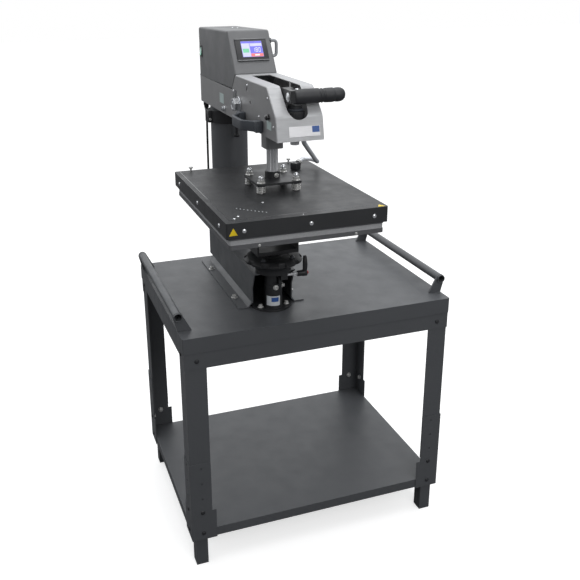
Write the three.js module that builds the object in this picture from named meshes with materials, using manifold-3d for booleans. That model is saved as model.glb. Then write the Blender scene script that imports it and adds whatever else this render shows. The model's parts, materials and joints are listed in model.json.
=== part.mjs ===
// Swing-away heat press with a 400 x 500 mm platen, standing on its steel trolley table.
// Millimetres, +Z up. The front of the press faces -Y.
// The origin is on the floor, at the centre of the object's footprint box.
import * as THREE from 'three';
import { mergeVertices } from 'three/addons/utils/BufferGeometryUtils.js';
import Module from 'manifold-3d';

const wasm = await Module();
wasm.setup();

// ---------------------------------------------------------------- driving dimensions
const GAP = 0.3;                 // running or touching clearance between neighbours

// table
const TABLE_W = 800;
const TABLE_D = 601;
const TABLE_H = 738.2;
const TRAY_RIM = 45.3;           // height of the folded rim of the top
const SHEET = 2;
const APRON_DEPTH = 92.8;        // how far the front and rear aprons reach below the top
const RAIL_DEPTH = 67.3;         // the same for the two side rails
const FRAME_INSET = 2.1;
const LEG_INSET = 3.85;
const LEG_FLANGE = 60;
const LEG_SHEET = 2.5;
const LEG_BOTTOM = 205;
const SLEEVE_SHEET = 2;
const SLEEVE_TOP = 350.4;
const SLEEVE_BOTTOM = 95;
const SLEEVE_FLANGE = 62;
const GUSSET_FLANGE = 74;
const GUSSET_TOP = 190;
const SHELF_TOP = 126.4;
const SHELF_RIM = 29;
const FOOT_SIZE = 35.4;
const FOOT_INSET = 13.85;
const SLEEVE_HOLES = [234, 284, 334];
const HANDLE_X = 397.2;
const HANDLE_Z = 42.3;           // tube centre above the table top
const HANDLE_FRONT = -252;
const HANDLE_REAR = 270;
const HANDLE_R = 12;

// press, measured from the platen centre at table height
const PRESS_X = -105;
const PRESS_Y = -180;
const COLUMN_Y = 407;
const COLUMN_R = 57;
const COLUMN_TOP = 562;
const BASE_HALF = 60.5;
const BASE_TOP = 112;
const BASE_REAR = 468;
const BASE_SHEET = 3;
const SOCKET_R = 25;
const STEM_R = 15;
const PLATEN_W = 404;
const PLATEN_L = 532;
const PLATEN_TOP = 294.5;
const PLATEN_T = 11;
const PAD_TOP = 307.2;
const COVER_W = 419;
const COVER_L = 545;
const COVER_TOP = 352.5;
const COVER_H = 40;
const HEATER_T = 18;
const STUD_X = 49;
const STUD_Y = 50;
const MOUNT_BOTTOM = 375;
const MOUNT_T = 6;
const MOUNT_SIZE = 124;
const RAM_R = 15.5;
const HEAD_HALF = 61;
const HEAD_BOTTOM = 519;
const HEAD_REAR = 511.5;
const HEAD_SHEET = 3;
const COVER_SHEET = 2;
const HOUSING_SHEET = 1.5;
const SEAM_Z = 599;              // where the control housing meets the side plates
const ROOF_REAR = 746;           // the housing's roof falls slightly towards the rear
const PANEL_BOTTOM = [126, 641]; // (y, z) of the control panel's lower edge
const PANEL_TOP = [198, 752.5];
const PIVOT = [95, 567];         // (y, z) of the lever's pivot
const GRIP = [-187, 622];        // (y, z) of the lever grip's axis
const KNOB_Y = -168;
const BEAM_PIVOT = [-125, 574.5]; // (y, z) of the pressure beam's pivot, and the same of its two pins
const RAM_PIN = [0, 552];
const CRANK_PIN = [39.3, 542.2];
const LOCK_Y = 326;
const CLAMP = [-22, 102];        // (y, z) of the socket's clamp stud

// The footprint runs from the heater cover's front edge to the rear of the head.
const FRONT = PRESS_Y - COVER_L / 2;
const REAR = PRESS_Y + HEAD_REAR;
const ORIGIN_Y = -(FRONT + REAR) / 2;

const radians = THREE.MathUtils.degToRad;

// ---------------------------------------------------------------- materials
const finish = (color, roughness, metalness) =>
  new THREE.MeshStandardMaterial({ color, roughness, metalness });
const PAINT = {
  table: finish(0x45474a, 0.55, 0.2),
  base: finish(0x4a4d50, 0.5, 0.2),
  black: finish(0x1d1e20, 0.5, 0.2),
  head: finish(0x7a7b7d, 0.45, 0.3),
  housing: finish(0x55585b, 0.55, 0.2),
  silver: finish(0x9a9da1, 0.4, 0.6),
  heater: finish(0x303235, 0.5, 0.2),
};
const STEEL = finish(0xb9bcc0, 0.25, 0.9);
const CHROME = finish(0xd8dadd, 0.08, 1.0);
const ALUMINIUM = finish(0xa6a8aa, 0.4, 0.8);
const SILICONE = finish(0x6c6e71, 0.8, 0);
const PLASTIC = finish(0x1b1b1d, 0.6, 0);
const RED = finish(0xb3202a, 0.5, 0);
const GREEN = finish(0x4fb58a, 0.4, 0);
const BRONZE = finish(0x9c7a3c, 0.5, 0.7);

// ---------------------------------------------------------------- solids
// Turns a closed three.js geometry into a solid that can be joined and cut.
function solid(geometry) {
  const bare = geometry.index ? geometry.toNonIndexed() : geometry.clone();
  bare.deleteAttribute('normal');
  bare.deleteAttribute('uv');
  const merged = mergeVertices(bare, 1e-4);
  const mesh = new wasm.Mesh({
    numProp: 3,
    vertProperties: new Float32Array(merged.attributes.position.array),
    triVerts: new Uint32Array(merged.index.array),
  });
  return new wasm.Manifold(mesh);
}

function geometryOf(shape) {
  const mesh = shape.getMesh();
  const geometry = new THREE.BufferGeometry();
  geometry.setAttribute('position', new THREE.BufferAttribute(mesh.vertProperties.slice(), 3));
  geometry.setIndex(new THREE.BufferAttribute(mesh.triVerts.slice(), 1));
  return geometry;
}

const join = (first, ...others) => others.reduce((sum, part) => sum.add(part), first);
const cut = (first, ...others) => others.reduce((rest, part) => rest.subtract(part), first);

function box(x0, x1, y0, y1, z0, z1) {
  const geometry = new THREE.BoxGeometry(x1 - x0, y1 - y0, z1 - z0);
  geometry.translate((x0 + x1) / 2, (y0 + y1) / 2, (z0 + z1) / 2);
  return solid(geometry);
}

// A cylinder along +Z at (x, y).
function post(x, y, z0, z1, radius, sides = 24) {
  const geometry = new THREE.CylinderGeometry(radius, radius, z1 - z0, sides);
  geometry.rotateX(Math.PI / 2);
  geometry.translate(x, y, (z0 + z1) / 2);
  return solid(geometry);
}

// A cylinder along +X at (y, z).
function bar(x0, x1, y, z, radius, sides = 20) {
  const geometry = new THREE.CylinderGeometry(radius, radius, x1 - x0, sides);
  geometry.rotateZ(Math.PI / 2);
  geometry.translate((x0 + x1) / 2, y, z);
  return solid(geometry);
}

// A cylinder along +Y at (x, z).
function rod(y0, y1, x, z, radius, sides = 20) {
  const geometry = new THREE.CylinderGeometry(radius, radius, y1 - y0, sides);
  geometry.translate(x, (y0 + y1) / 2, z);
  return solid(geometry);
}

const outline = (points) => new THREE.Shape(points.map(([u, v]) => new THREE.Vector2(u, v)));

function extrude(shape, depth) {
  return new THREE.ExtrudeGeometry(shape, { depth, bevelEnabled: false, curveSegments: 3 });
}

// Extrudes an (x, y) outline from z0 to z1.
function slab(shape, z0, z1) {
  const geometry = extrude(shape, z1 - z0);
  geometry.translate(0, 0, z0);
  return solid(geometry);
}

// Extrudes a (y, z) outline from x0 to x1.
function sidePlate(points, x0, x1) {
  const geometry = extrude(outline(points), x1 - x0);
  geometry.applyMatrix4(new THREE.Matrix4().set(0, 0, 1, x0, 1, 0, 0, 0, 0, 1, 0, 0, 0, 0, 0, 1));
  return solid(geometry);
}

// Extrudes an (x, z) outline from y0 to y1.
function frontPlate(shape, y0, y1) {
  const geometry = extrude(shape, y1 - y0);
  geometry.rotateX(Math.PI / 2);
  geometry.translate(0, y1, 0);
  return solid(geometry);
}

// Turns an (r, z) profile that closes on the axis about +Z.
function turned(points, x, y, sides = 24) {
  const profile = points.map(([r, z]) => new THREE.Vector2(r, z));
  const geometry = new THREE.LatheGeometry(profile, sides);
  geometry.rotateX(Math.PI / 2);
  geometry.translate(x, y, 0);
  return geometry;
}

function roundedRect(width, length, radius) {
  const [w, l] = [width / 2, length / 2];
  const shape = new THREE.Shape();
  shape.moveTo(-w + radius, -l);
  shape.lineTo(w - radius, -l);
  shape.absarc(w - radius, -l + radius, radius, -Math.PI / 2, 0, false);
  shape.absarc(w - radius, l - radius, radius, 0, Math.PI / 2, false);
  shape.absarc(-w + radius, l - radius, radius, Math.PI / 2, Math.PI, false);
  shape.absarc(-w + radius, -l + radius, radius, Math.PI, 1.5 * Math.PI, false);
  return shape;
}

// Sweeps a round section along a list of points.
function swept(points, radius, sides, steps) {
  const path = new THREE.CatmullRomCurve3(points.map(([x, y, z]) => new THREE.Vector3(x, y, z)));
  const section = new THREE.Shape();
  section.absarc(0, 0, radius, 0, 2 * Math.PI, false);
  const ring = new THREE.Shape(section.getSpacedPoints(sides).slice(0, -1));
  return new THREE.ExtrudeGeometry(ring, { steps, bevelEnabled: false, extrudePath: path });
}

function add(group, name, shape, material) {
  const geometry = shape.isBufferGeometry ? shape : geometryOf(shape);
  const mesh = new THREE.Mesh(geometry, material);
  mesh.name = name;
  group.add(mesh);
  return mesh;
}

// ---------------------------------------------------------------- table
const CORNERS = [
  ['front_left', -1, -1],
  ['front_right', 1, -1],
  ['rear_left', -1, 1],
  ['rear_right', 1, 1],
];

function tableTop() {
  const [w, d] = [TABLE_W / 2, TABLE_D / 2];
  const bottom = TABLE_H - TRAY_RIM;
  const blank = slab(roundedRect(TABLE_W, TABLE_D, 4), bottom, TABLE_H);
  const inner = box(-w + SHEET - 0.2, w - SHEET + 0.2, -d + SHEET - 0.2, d - SHEET + 0.2, bottom - 1,
    TABLE_H - SHEET);
  return cut(blank, inner);
}

// The welded ring under the top: two deep aprons, two shallower side rails.
function topFrame() {
  const [w, d] = [TABLE_W / 2 - FRAME_INSET, TABLE_D / 2 - FRAME_INSET];
  const wall = 1.5;
  const top = TABLE_H - SHEET - 0.4;
  const apron = TABLE_H - APRON_DEPTH;
  const rail = TABLE_H - RAIL_DEPTH;
  const cornerReturn = 20;
  let frame = box(-w, w, -d, -d + wall, apron, top);
  frame = join(frame, box(-w, w, d - wall, d, apron, top));
  for (const side of [-1, 1]) {
    const [x0, x1] = side < 0 ? [-w, -w + wall] : [w - wall, w];
    frame = join(frame, box(x0, x1, -d, d, rail, top));
    for (const end of [-1, 1]) {
      const [y0, y1] = end < 0 ? [-d, -d + cornerReturn] : [d - cornerReturn, d];
      frame = join(frame, box(x0, x1, y0, y1, apron, rail + 1));
    }
  }
  return frame;
}

// An angle section whose outer corner is at (x, y), opening towards the table's middle.
function angle(sx, sy, x, y, flange, sheet, z0, z1) {
  const along = (s, a, length) => (s > 0 ? [a - length, a] : [-a, -a + length]);
  const [ax0, ax1] = along(sx, x, flange);
  const [ay0, ay1] = along(sy, y, sheet);
  const [bx0, bx1] = along(sx, x, sheet);
  const [by0, by1] = along(sy, y, flange);
  return join(box(ax0, ax1, ay0, ay1, z0, z1), box(bx0, bx1, by0, by1, z0, z1));
}

function upperLeg(sx, sy) {
  const [x, y] = [TABLE_W / 2 - LEG_INSET, TABLE_D / 2 - LEG_INSET];
  return angle(sx, sy, x, y, LEG_FLANGE, LEG_SHEET, LEG_BOTTOM, TABLE_H - SHEET - 0.5);
}

// The lower leg: an outer angle with a row of height holes, and its square foot.
function lowerLeg(sx, sy) {
  const outset = LEG_INSET - GAP - SLEEVE_SHEET;
  const [x, y] = [TABLE_W / 2 - outset, TABLE_D / 2 - outset];
  let leg = join(
    angle(sx, sy, x, y, SLEEVE_FLANGE, SLEEVE_SHEET, SLEEVE_BOTTOM, SLEEVE_TOP),
    angle(sx, sy, x, y, GUSSET_FLANGE, SLEEVE_SHEET, SLEEVE_BOTTOM, GUSSET_TOP));
  const plateInset = x - SLEEVE_FLANGE;
  const [px0, px1] = sx > 0 ? [plateInset, x] : [-x, -plateInset];
  const [py0, py1] = sy > 0 ? [y - SLEEVE_FLANGE, y] : [-y, -y + SLEEVE_FLANGE];
  leg = join(leg, box(px0, px1, py0, py1, SLEEVE_BOTTOM, SLEEVE_BOTTOM + SLEEVE_SHEET));
  const [fx, fy] = [TABLE_W / 2 - FOOT_INSET, TABLE_D / 2 - FOOT_INSET];
  const [cx, cy] = [sx * (fx - FOOT_SIZE / 2), sy * (fy - FOOT_SIZE / 2)];
  const half = FOOT_SIZE / 2;
  const hollow = half - 2;
  leg = join(leg, box(cx - half, cx + half, cy - half, cy + half, 0, SLEEVE_BOTTOM + 1));
  leg = cut(leg, box(cx - hollow, cx + hollow, cy - hollow, cy + hollow, 3, SLEEVE_BOTTOM + 10));
  for (const z of SLEEVE_HOLES) {
    leg = cut(leg,
      rod(sy * y - 4, sy * y + 4, sx * (x - 34), z, 3.4, 8),
      bar(sx * x - 4, sx * x + 4, sy * (y - 34), z, 3.4, 8));
  }
  return leg;
}

function shelf() {
  const [w, d] = [TABLE_W / 2 - LEG_INSET, TABLE_D / 2 - LEG_INSET];
  const bottom = SHELF_TOP - SHELF_RIM;
  const wall = 1.5;
  return cut(box(-w, w, -d, d, bottom, SHELF_TOP),
    box(-w + wall, w - wall, -d + wall, d - wall, bottom - 1, SHELF_TOP - wall));
}

// A round tube between two end plates that stand on the table top.
function tableHandle(side) {
  const z = TABLE_H + HANDLE_Z;
  const foot = TABLE_H + GAP;
  const plate = new THREE.Shape();
  plate.moveTo(361, foot);
  plate.lineTo(400, foot);
  plate.absarc(HANDLE_X, z, HANDLE_R + 1, -0.15, 2.6, false);
  const mirrored = new THREE.Shape(plate.getPoints(5).map((p) => new THREE.Vector2(-p.x, p.y)));
  const shape = side > 0 ? plate : mirrored;
  const x = side * HANDLE_X;
  const ends = [HANDLE_FRONT + 5, HANDLE_REAR - 11];
  let handle = rod(HANDLE_FRONT, HANDLE_REAR, x, z, HANDLE_R, 20);
  handle = join(handle, ...ends.map((y) => frontPlate(shape, y, y + 6)));
  return cut(handle, rod(HANDLE_FRONT - 1, HANDLE_REAR + 1, x, z, HANDLE_R - 2, 16));
}

function table() {
  const group = new THREE.Group();
  add(group, 'table_top', tableTop(), PAINT.table);
  add(group, 'top_frame', topFrame(), PAINT.table);
  add(group, 'shelf', shelf(), PAINT.table);
  for (const [name, sx, sy] of CORNERS) {
    add(group, `upper_leg_${name}`, upperLeg(sx, sy), PAINT.table);
    add(group, `lower_leg_${name}`, lowerLeg(sx, sy), PAINT.table);
  }
  add(group, 'table_handle_left', tableHandle(-1), PAINT.table);
  add(group, 'table_handle_right', tableHandle(1), PAINT.table);
  return group;
}

// ---------------------------------------------------------------- press base
// A folded box with flared, flanged feet. The column passes through its top.
function baseShell() {
  const inner = BASE_HALF - BASE_SHEET;
  const foldZ = 17;
  const flangeX = 99;
  const wall = [[10, foldZ], [10, 62], [-13, BASE_TOP], [BASE_REAR, BASE_TOP], [BASE_REAR, foldZ]];
  const flange = [
    [inner, foldZ + 3], [BASE_HALF, foldZ + 3], [BASE_HALF, foldZ], [71.5, GAP + BASE_SHEET],
    [flangeX, GAP + BASE_SHEET], [flangeX, GAP], [70, GAP], [inner, foldZ - 1.5],
  ];
  const flangeLeft = flange.map(([x, z]) => [-x, z]);
  let shell = box(-BASE_HALF, BASE_HALF, -13, BASE_REAR, BASE_TOP - BASE_SHEET, BASE_TOP);
  shell = join(shell, sidePlate(wall, inner, BASE_HALF), sidePlate(wall, -BASE_HALF, -inner));
  shell = join(shell, frontPlate(outline(flange), 16, 435), frontPlate(outline(flangeLeft), 16, 435));
  return cut(shell, post(0, COLUMN_Y, BASE_TOP - 10, BASE_TOP + 10, COLUMN_R + 0.6, 36),
    post(0, 0, BASE_TOP - 10, BASE_TOP + 10, STEM_R + 2));
}

// The floor plate with its round nose, and the split socket that holds the platen's stem.
function pedestal() {
  const half = 57;
  const noseY = 23;
  const noseR = 60;
  const nose = Math.acos(half / noseR);
  const plate = new THREE.Shape();
  plate.moveTo(half, BASE_REAR - 3);
  plate.lineTo(-half, BASE_REAR - 3);
  plate.lineTo(-half, noseY);
  plate.absarc(0, noseY, noseR, Math.PI + nose, 2 * Math.PI - nose, false);
  plate.lineTo(half, noseY);
  const plateTop = 5.3;
  const socketTop = 108;
  let body = slab(plate, GAP, plateTop);
  body = join(body, post(0, 0, plateTop - 1, socketTop, SOCKET_R, 24));
  const [clampY, clampZ] = CLAMP;
  body = join(body, box(12, 32, clampY - 10, clampY + 14, clampZ - 10, socketTop));
  return cut(body,
    post(0, 0, 45, socketTop + 1, STEM_R + GAP, 32),
    box(-8, 8, -SOCKET_R - 5, 0, 78, socketTop + 1),
    bar(10, 40, ...CLAMP, 4.4, 16));
}

// The lobed casting on which the lower platen's carrier turns.
function receiver() {
  const bore = STEM_R + 0.6;
  const bottom = BASE_TOP + 0.4;
  const profile = [
    [bore, bottom], [50, bottom], [62, 119], [82, 137], [82, 150], [72, 159], [bore, 159],
    [bore, bottom],
  ];
  let body = solid(turned(profile, 0, 0, 30));
  const lobes = 10;
  for (let i = 0; i < lobes; i += 1) {
    const turn = ((i + 0.5) / lobes) * 2 * Math.PI;
    body = cut(body, post(86 * Math.cos(turn), 86 * Math.sin(turn), 100, 170, 9, 8));
  }
  return body;
}

function columnTube() {
  return cut(post(0, COLUMN_Y, 5.6, COLUMN_TOP, COLUMN_R, 36),
    post(0, COLUMN_Y, 0, COLUMN_TOP + 1, COLUMN_R - 5, 36));
}

function columnBush() {
  return cut(post(0, COLUMN_Y, 500, COLUMN_TOP, COLUMN_R - 5.6, 36),
    post(0, COLUMN_Y, 499, COLUMN_TOP + 1, 30.6, 30));
}

// A split clamp ring just under the head, with its screw ears on the left.
function stopCollar() {
  const [z0, z1] = [468, 506];
  const ring = join(post(0, COLUMN_Y, z0, z1, 64, 36), box(-71, -50, COLUMN_Y - 20, COLUMN_Y + 20, z0, z1));
  return cut(ring, post(0, COLUMN_Y, z0 - 1, z1 + 1, COLUMN_R + 0.6, 36),
    box(-80, -55, COLUMN_Y - 2, COLUMN_Y + 2, z0 - 1, z1 + 1));
}

// ---------------------------------------------------------------- lower platen
function platenCarrier() {
  const bottom = 174;
  const top = PLATEN_TOP - PLATEN_T - GAP;
  const plate = top - 13;
  const [front, rear, wall] = [-44, 150, 5];
  let body = cut(box(-60, 60, front, rear, bottom, plate + 1),
    box(-60 + wall, 60 - wall, front - 1, rear + 1, bottom + 10, plate));
  body = join(body, box(-100, 100, -120, rear, plate, top));
  return join(body, post(0, 0, 48, bottom + 2, STEM_R, 32));
}

const lowerPlaten = () =>
  slab(roundedRect(PLATEN_W, PLATEN_L, 7), PLATEN_TOP - PLATEN_T, PLATEN_TOP);
const siliconePad = () =>
  slab(roundedRect(PLATEN_W - 2, PLATEN_L - 2, 7), PLATEN_TOP + GAP, PAD_TOP);

// ---------------------------------------------------------------- clamp lever of the socket
const clampStud = () => join(bar(24, 64, ...CLAMP, 4, 16), bar(50, 56, ...CLAMP, 8, 6));

function clampLever() {
  const [y, z] = CLAMP;
  const handle = [[y - 7, z], [y + 7, z], [y + 5, z + 48], [y, z + 53], [y - 5, z + 48]];
  const arm = sidePlate(handle, 82, 92);
  return cut(join(bar(64.3, 92, y, z, 10, 20), arm), bar(81, 100, y, z, 5.4, 16));
}

const clampButton = () => bar(85.3, 97, ...CLAMP, 5, 16);

// ---------------------------------------------------------------- head
const HEAD_TOP = 642;            // outside of the silver cover's top
const COVER_BENDS = [[120, HEAD_TOP], [-134, HEAD_TOP], [-198.5, 578], [-210.5, HEAD_BOTTOM]];

function headPlate(side) {
  const top = HEAD_TOP - COVER_SHEET - GAP;
  const points = [
    [HEAD_REAR - HOUSING_SHEET - GAP, HEAD_BOTTOM], [-207.6, HEAD_BOTTOM], [-195.8, 577],
    [-133, top], [125.4, top], [159.4, SEAM_Z - GAP],
    [HEAD_REAR - HOUSING_SHEET - GAP, SEAM_Z - GAP],
  ];
  const inner = HEAD_HALF - HEAD_SHEET;
  const [x0, x1] = side < 0 ? [-HEAD_HALF, -inner] : [inner, HEAD_HALF];
  let plate = sidePlate(points, x0, x1);
  const holes = [[...PIVOT, 10.4], [-5, 585.5, 4.5], [-151, 571, 7]];
  for (const [y, z, r] of holes) plate = cut(plate, bar(x0 - 1, x1 + 1, y, z, r, 20));
  const slotY = 23;
  return cut(plate, box(x0 - 1, x1 + 1, slotY - 4.5, slotY + 4.5, 612, 632));
}

// The folded front cover, open along its top for the lever and cut out round for the knob.
function headCover() {
  const inner = [[-208.2, HEAD_BOTTOM], [-196.3, 577.2], [-133.2, HEAD_TOP - COVER_SHEET],
    [120, HEAD_TOP - COVER_SHEET]];
  const sheet = sidePlate([...COVER_BENDS, ...inner], -HEAD_HALF, HEAD_HALF);
  const [slot, uCentre] = [26.5, 595];
  return cut(sheet,
    box(-slot, slot, -260, 92, uCentre, 700),
    rod(-260, -100, 0, uCentre, slot, 24));
}

function controlHousing() {
  const t = HOUSING_SHEET;
  const outer = [[HEAD_REAR, SEAM_Z], [HEAD_REAR, ROOF_REAR], PANEL_TOP, PANEL_BOTTOM, [160, SEAM_Z]];
  const inner = [
    [HEAD_REAR - t, SEAM_Z - 1], [HEAD_REAR - t, ROOF_REAR - t], [PANEL_TOP[0] + 0.8, PANEL_TOP[1] - t],
    [PANEL_BOTTOM[0] + 1.8, PANEL_BOTTOM[1]], [162, SEAM_Z - 1],
  ];
  let shell = cut(sidePlate(outer, -HEAD_HALF, HEAD_HALF), sidePlate(inner, -HEAD_HALF + t, HEAD_HALF - t));
  shell = join(shell,
    box(-HEAD_HALF, HEAD_HALF, HEAD_REAR - t, HEAD_REAR, HEAD_BOTTOM, SEAM_Z + 1),
    box(-57.5, 57.5, 471, HEAD_REAR, HEAD_BOTTOM, HEAD_BOTTOM + t));
  const window = onPanel(box(-37.5, 37.5, -20, 20, -25.5, 25.5), DISPLAY_CENTRE);
  return cut(shell, window,
    box(-HEAD_HALF - 1, -HEAD_HALF + t + 1, SWITCH[0] - 10.8, SWITCH[0] + 10.8, SWITCH[1] - 15.8,
      SWITCH[1] + 15.8),
    post(...LEAD_EXIT, HEAD_BOTTOM - 1, HEAD_BOTTOM + t + 1, 6.4, 20));
}

// Places a solid, made facing -Y about the origin, on the sloping control panel.
const PANEL_TILT = Math.atan2(PANEL_TOP[0] - PANEL_BOTTOM[0], PANEL_TOP[1] - PANEL_BOTTOM[1]);
const DISPLAY_CENTRE = 0.543;    // how far up the panel the display's centre is
const SWITCH = [486, 675];       // (y, z) of the power switch
const LEAD_EXIT = [-50, 488];    // (x, y) where the mains lead leaves

function onPanel(shape, share) {
  const y = PANEL_BOTTOM[0] + share * (PANEL_TOP[0] - PANEL_BOTTOM[0]);
  const z = PANEL_BOTTOM[1] + share * (PANEL_TOP[1] - PANEL_BOTTOM[1]);
  const geometry = geometryOf(shape);
  geometry.rotateX(-PANEL_TILT);
  geometry.translate(0, y, z);
  return solid(geometry);
}

const displayModule = () =>
  onPanel(join(box(-45.3, 45.3, -5, -GAP, -33, 33), box(-37, 37, -1, 18, -25, 25)), DISPLAY_CENTRE);

function switchFrame() {
  const [y, z] = SWITCH;
  const flange = box(-HEAD_HALF - 2.3, -HEAD_HALF - GAP, y - 13, y + 13, z - 18, z + 18);
  const body = box(-HEAD_HALF - 1, -38, y - 10.5, y + 10.5, z - 15.5, z + 15.5);
  return cut(join(flange, body), box(-HEAD_HALF - 5, -50, y - 8.8, y + 8.8, z - 14.2, z + 14.2));
}

// The rocker plate, tipped to its ON side.
function rocker() {
  const [y, z] = SWITCH;
  const geometry = new THREE.BoxGeometry(5, 17, 26);
  geometry.rotateY(radians(9));
  geometry.translate(-HEAD_HALF, y, z);
  return solid(geometry);
}

// The cast guide: a square nose round the ram, and a beam forward to the pressure spindle.
function ramGuide() {
  const block = slab(roundedRect(49, 49, 8), 463, HEAD_BOTTOM + 2);
  const body = box(-57.7, 57.7, -32, 22, HEAD_BOTTOM + 1, 545);
  const arm = box(-22, 26, -195, -30, HEAD_BOTTOM + 5, 543);
  const [pinY, pinZ] = BEAM_PIVOT;
  const ear = box(17, 26, pinY - 13, pinY + 13, 540, pinZ + 12);
  const channel = box(2, 17, pinY - 13, 30, HEAD_BOTTOM + 5, 560);
  return join(
    cut(join(block, body, arm, ear), channel, post(0, 0, 460, 550, RAM_R + 0.5),
      post(0, KNOB_Y, 520, 550, 8.4, 16)),
    bar(4, 18, ...BEAM_PIVOT, 5, 16));
}

function swingHub() {
  const plate = box(-57.7, 57.7, 314, 464, COLUMN_TOP + 1, COLUMN_TOP + 9);
  return cut(join(plate, post(0, COLUMN_Y, 500, COLUMN_TOP + 2, 30, 30)),
    post(0, LOCK_Y, COLUMN_TOP, COLUMN_TOP + 12, 4.4, 16));
}

// The lever's pivot pin, with its big hexagon nut outside the left plate.
function pivotPin() {
  const hexagon = 34 / Math.sqrt(3);
  return join(bar(-HEAD_HALF - 2, HEAD_HALF + 2, ...PIVOT, 10, 24),
    bar(-HEAD_HALF - 19, -HEAD_HALF - GAP, ...PIVOT, hexagon, 6),
    bar(HEAD_HALF + GAP, HEAD_HALF + 7, ...PIVOT, 16, 24));
}

// The bow handle that swings the head, on the left plate.
function swingHandle() {
  const x = -HEAD_HALF - GAP;
  const [front, rear, depth] = [-99, 46, 46];
  const band = new THREE.Shape();
  band.moveTo(x - 12, front - 8);
  band.lineTo(x - depth + 6, front + 20);
  band.lineTo(x - depth, front + 34);
  band.lineTo(x - depth, rear - 34);
  band.lineTo(x - depth + 6, rear - 20);
  band.lineTo(x - 12, rear + 8);
  band.lineTo(x - 12, rear - 3);
  band.lineTo(x - depth + 14, rear - 26);
  band.lineTo(x - depth + 9, rear - 38);
  band.lineTo(x - depth + 9, front + 38);
  band.lineTo(x - depth + 14, front + 26);
  band.lineTo(x - 12, front + 3);
  const blocks = [front, rear].map((y) => box(x - 20, x, y - 11, y + 11, 526, 555));
  return join(slab(band, 527, 554), ...blocks);
}

// The small bow handle on the right of the control housing.
function housingHandle() {
  const [x, y, reach] = [HEAD_HALF + GAP, 186, 19];
  const [low, high] = [682, 724];
  const route = [[x, y, low], [x + reach - 7, y, low], [x + reach - 1, y, low + 4], [x + reach, y, low + 12],
    [x + reach, y, high - 12], [x + reach - 1, y, high - 4], [x + reach - 7, y, high], [x, y, high]];
  return swept(route, 4.5, 8, 16);
}

function leadGland() {
  const bottom = 487;
  const flange = HEAD_BOTTOM - GAP;
  return turned([[0, bottom], [4.6, bottom], [6, 500], [9, 510], [9, flange], [6, flange],
    [6, 532], [0, 532]], ...LEAD_EXIT, 14);
}

function swingLock() {
  return join(post(0, LOCK_Y, 431, 445, 9, 20), post(0, LOCK_Y, 444, 584, 4, 16),
    post(0, LOCK_Y, 530, 536, 8, 16));
}

const pressureKnob = () => turned([[0, 503], [11.5, 503], [11.5, 516], [8, 517], [8, 556], [19, 556],
  [24, 561], [24, 594], [20, 600], [0, 600]], 0, KNOB_Y, 20);

// ---------------------------------------------------------------- lever
function leverArm() {
  const [y, z] = PIVOT;
  const [gripY, gripZ] = GRIP;
  const slabPoints = [[y, z - 18], [y, z + 18], [-164, gripZ + 13], [-164, gripZ - 15]];
  const cheek = box(-24, -12, -205, -139, gripZ - 12, gripZ + 17);
  const block = box(-24, 0, -164, -139, gripZ - 12, gripZ + 17);
  const [crankY, crankZ] = CRANK_PIN;
  const ear = [[y, z - 22], [y, z + 10], [crankY - 2, z + 8], [crankY - 11, crankZ], [crankY, crankZ - 11],
    [crankY + 8, crankZ - 8]];
  const arm = join(sidePlate(slabPoints, -20, 0), bar(-22, 2, y, z, 24), cheek, block,
    sidePlate(ear, -20, 0), bar(-2, 17, crankY, crankZ, 5, 16));
  return cut(arm, bar(-40, 20, y, z, 10.4, 24), bar(-30, -8, gripY, gripZ, 6.4, 20));
}

// The round grip with two ring grooves and a domed end, on its own bolt through the arm's cheek.
function leverGrip() {
  const [y, z] = GRIP;
  const profile = [[0, -32], [9, -31], [12, -28], [12, -24.3], [6, -24.3], [6, -11.7], [16.5, -11.7],
    [18, -9], [18, 55], [16.6, 56], [16.6, 59], [17.6, 60], [16.4, 64], [16.4, 67], [17.4, 69],
    [17, 104], [16, 112], [11, 119], [5, 121.5], [0, 122]];
  const geometry = new THREE.LatheGeometry(profile.map(([r, x]) => new THREE.Vector2(r, x)), 20);
  geometry.rotateZ(-Math.PI / 2);
  geometry.translate(0, y, z);
  return geometry;
}

// The beam that presses the ram down: its front end turns on the guide's pin, the ram hangs on
// it by a pin, and the lever's crank pin runs in the slot at its rear end.
function pressureBeam() {
  const [frontY, frontZ] = BEAM_PIVOT;
  const [rearY, rearZ] = [58, 536];
  const slope = Math.atan2(rearZ - frontZ, rearY - frontY);
  const half = 12;
  const [dy, dz] = [-Math.sin(slope) * half, Math.cos(slope) * half];
  const bars = sidePlate([[frontY - dy, frontZ - dz], [rearY - dy, rearZ - dz], [rearY + dy, rearZ + dz],
    [frontY + dy, frontZ + dz]], 4.3, 15.7);
  const slot = [[31, 544.5], [35.7, 543.4], [40.3, 542.2], [45, 541.1]];
  return cut(join(bars, bar(4.3, 15.7, frontY, frontZ, half)),
    bar(0, 20, frontY, frontZ, 5.6, 16), bar(0, 20, ...RAM_PIN, 7.4, 16),
    ...slot.map((centre) => bar(0, 20, ...centre, 7.2, 12)));
}

// ---------------------------------------------------------------- ram and heater
function ramShaft() {
  const shaft = post(0, 0, MOUNT_BOTTOM + MOUNT_T + GAP, 563, RAM_R);
  return join(cut(shaft, box(3.3, 20, -20, 20, 531, 570)), bar(0, 18, ...RAM_PIN, 5, 16));
}

const STUDS = [
  ['front_left', -STUD_X, -STUD_Y],
  ['front_right', STUD_X, -STUD_Y],
  ['rear_left', -STUD_X, STUD_Y],
  ['rear_right', STUD_X, STUD_Y],
];

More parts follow.
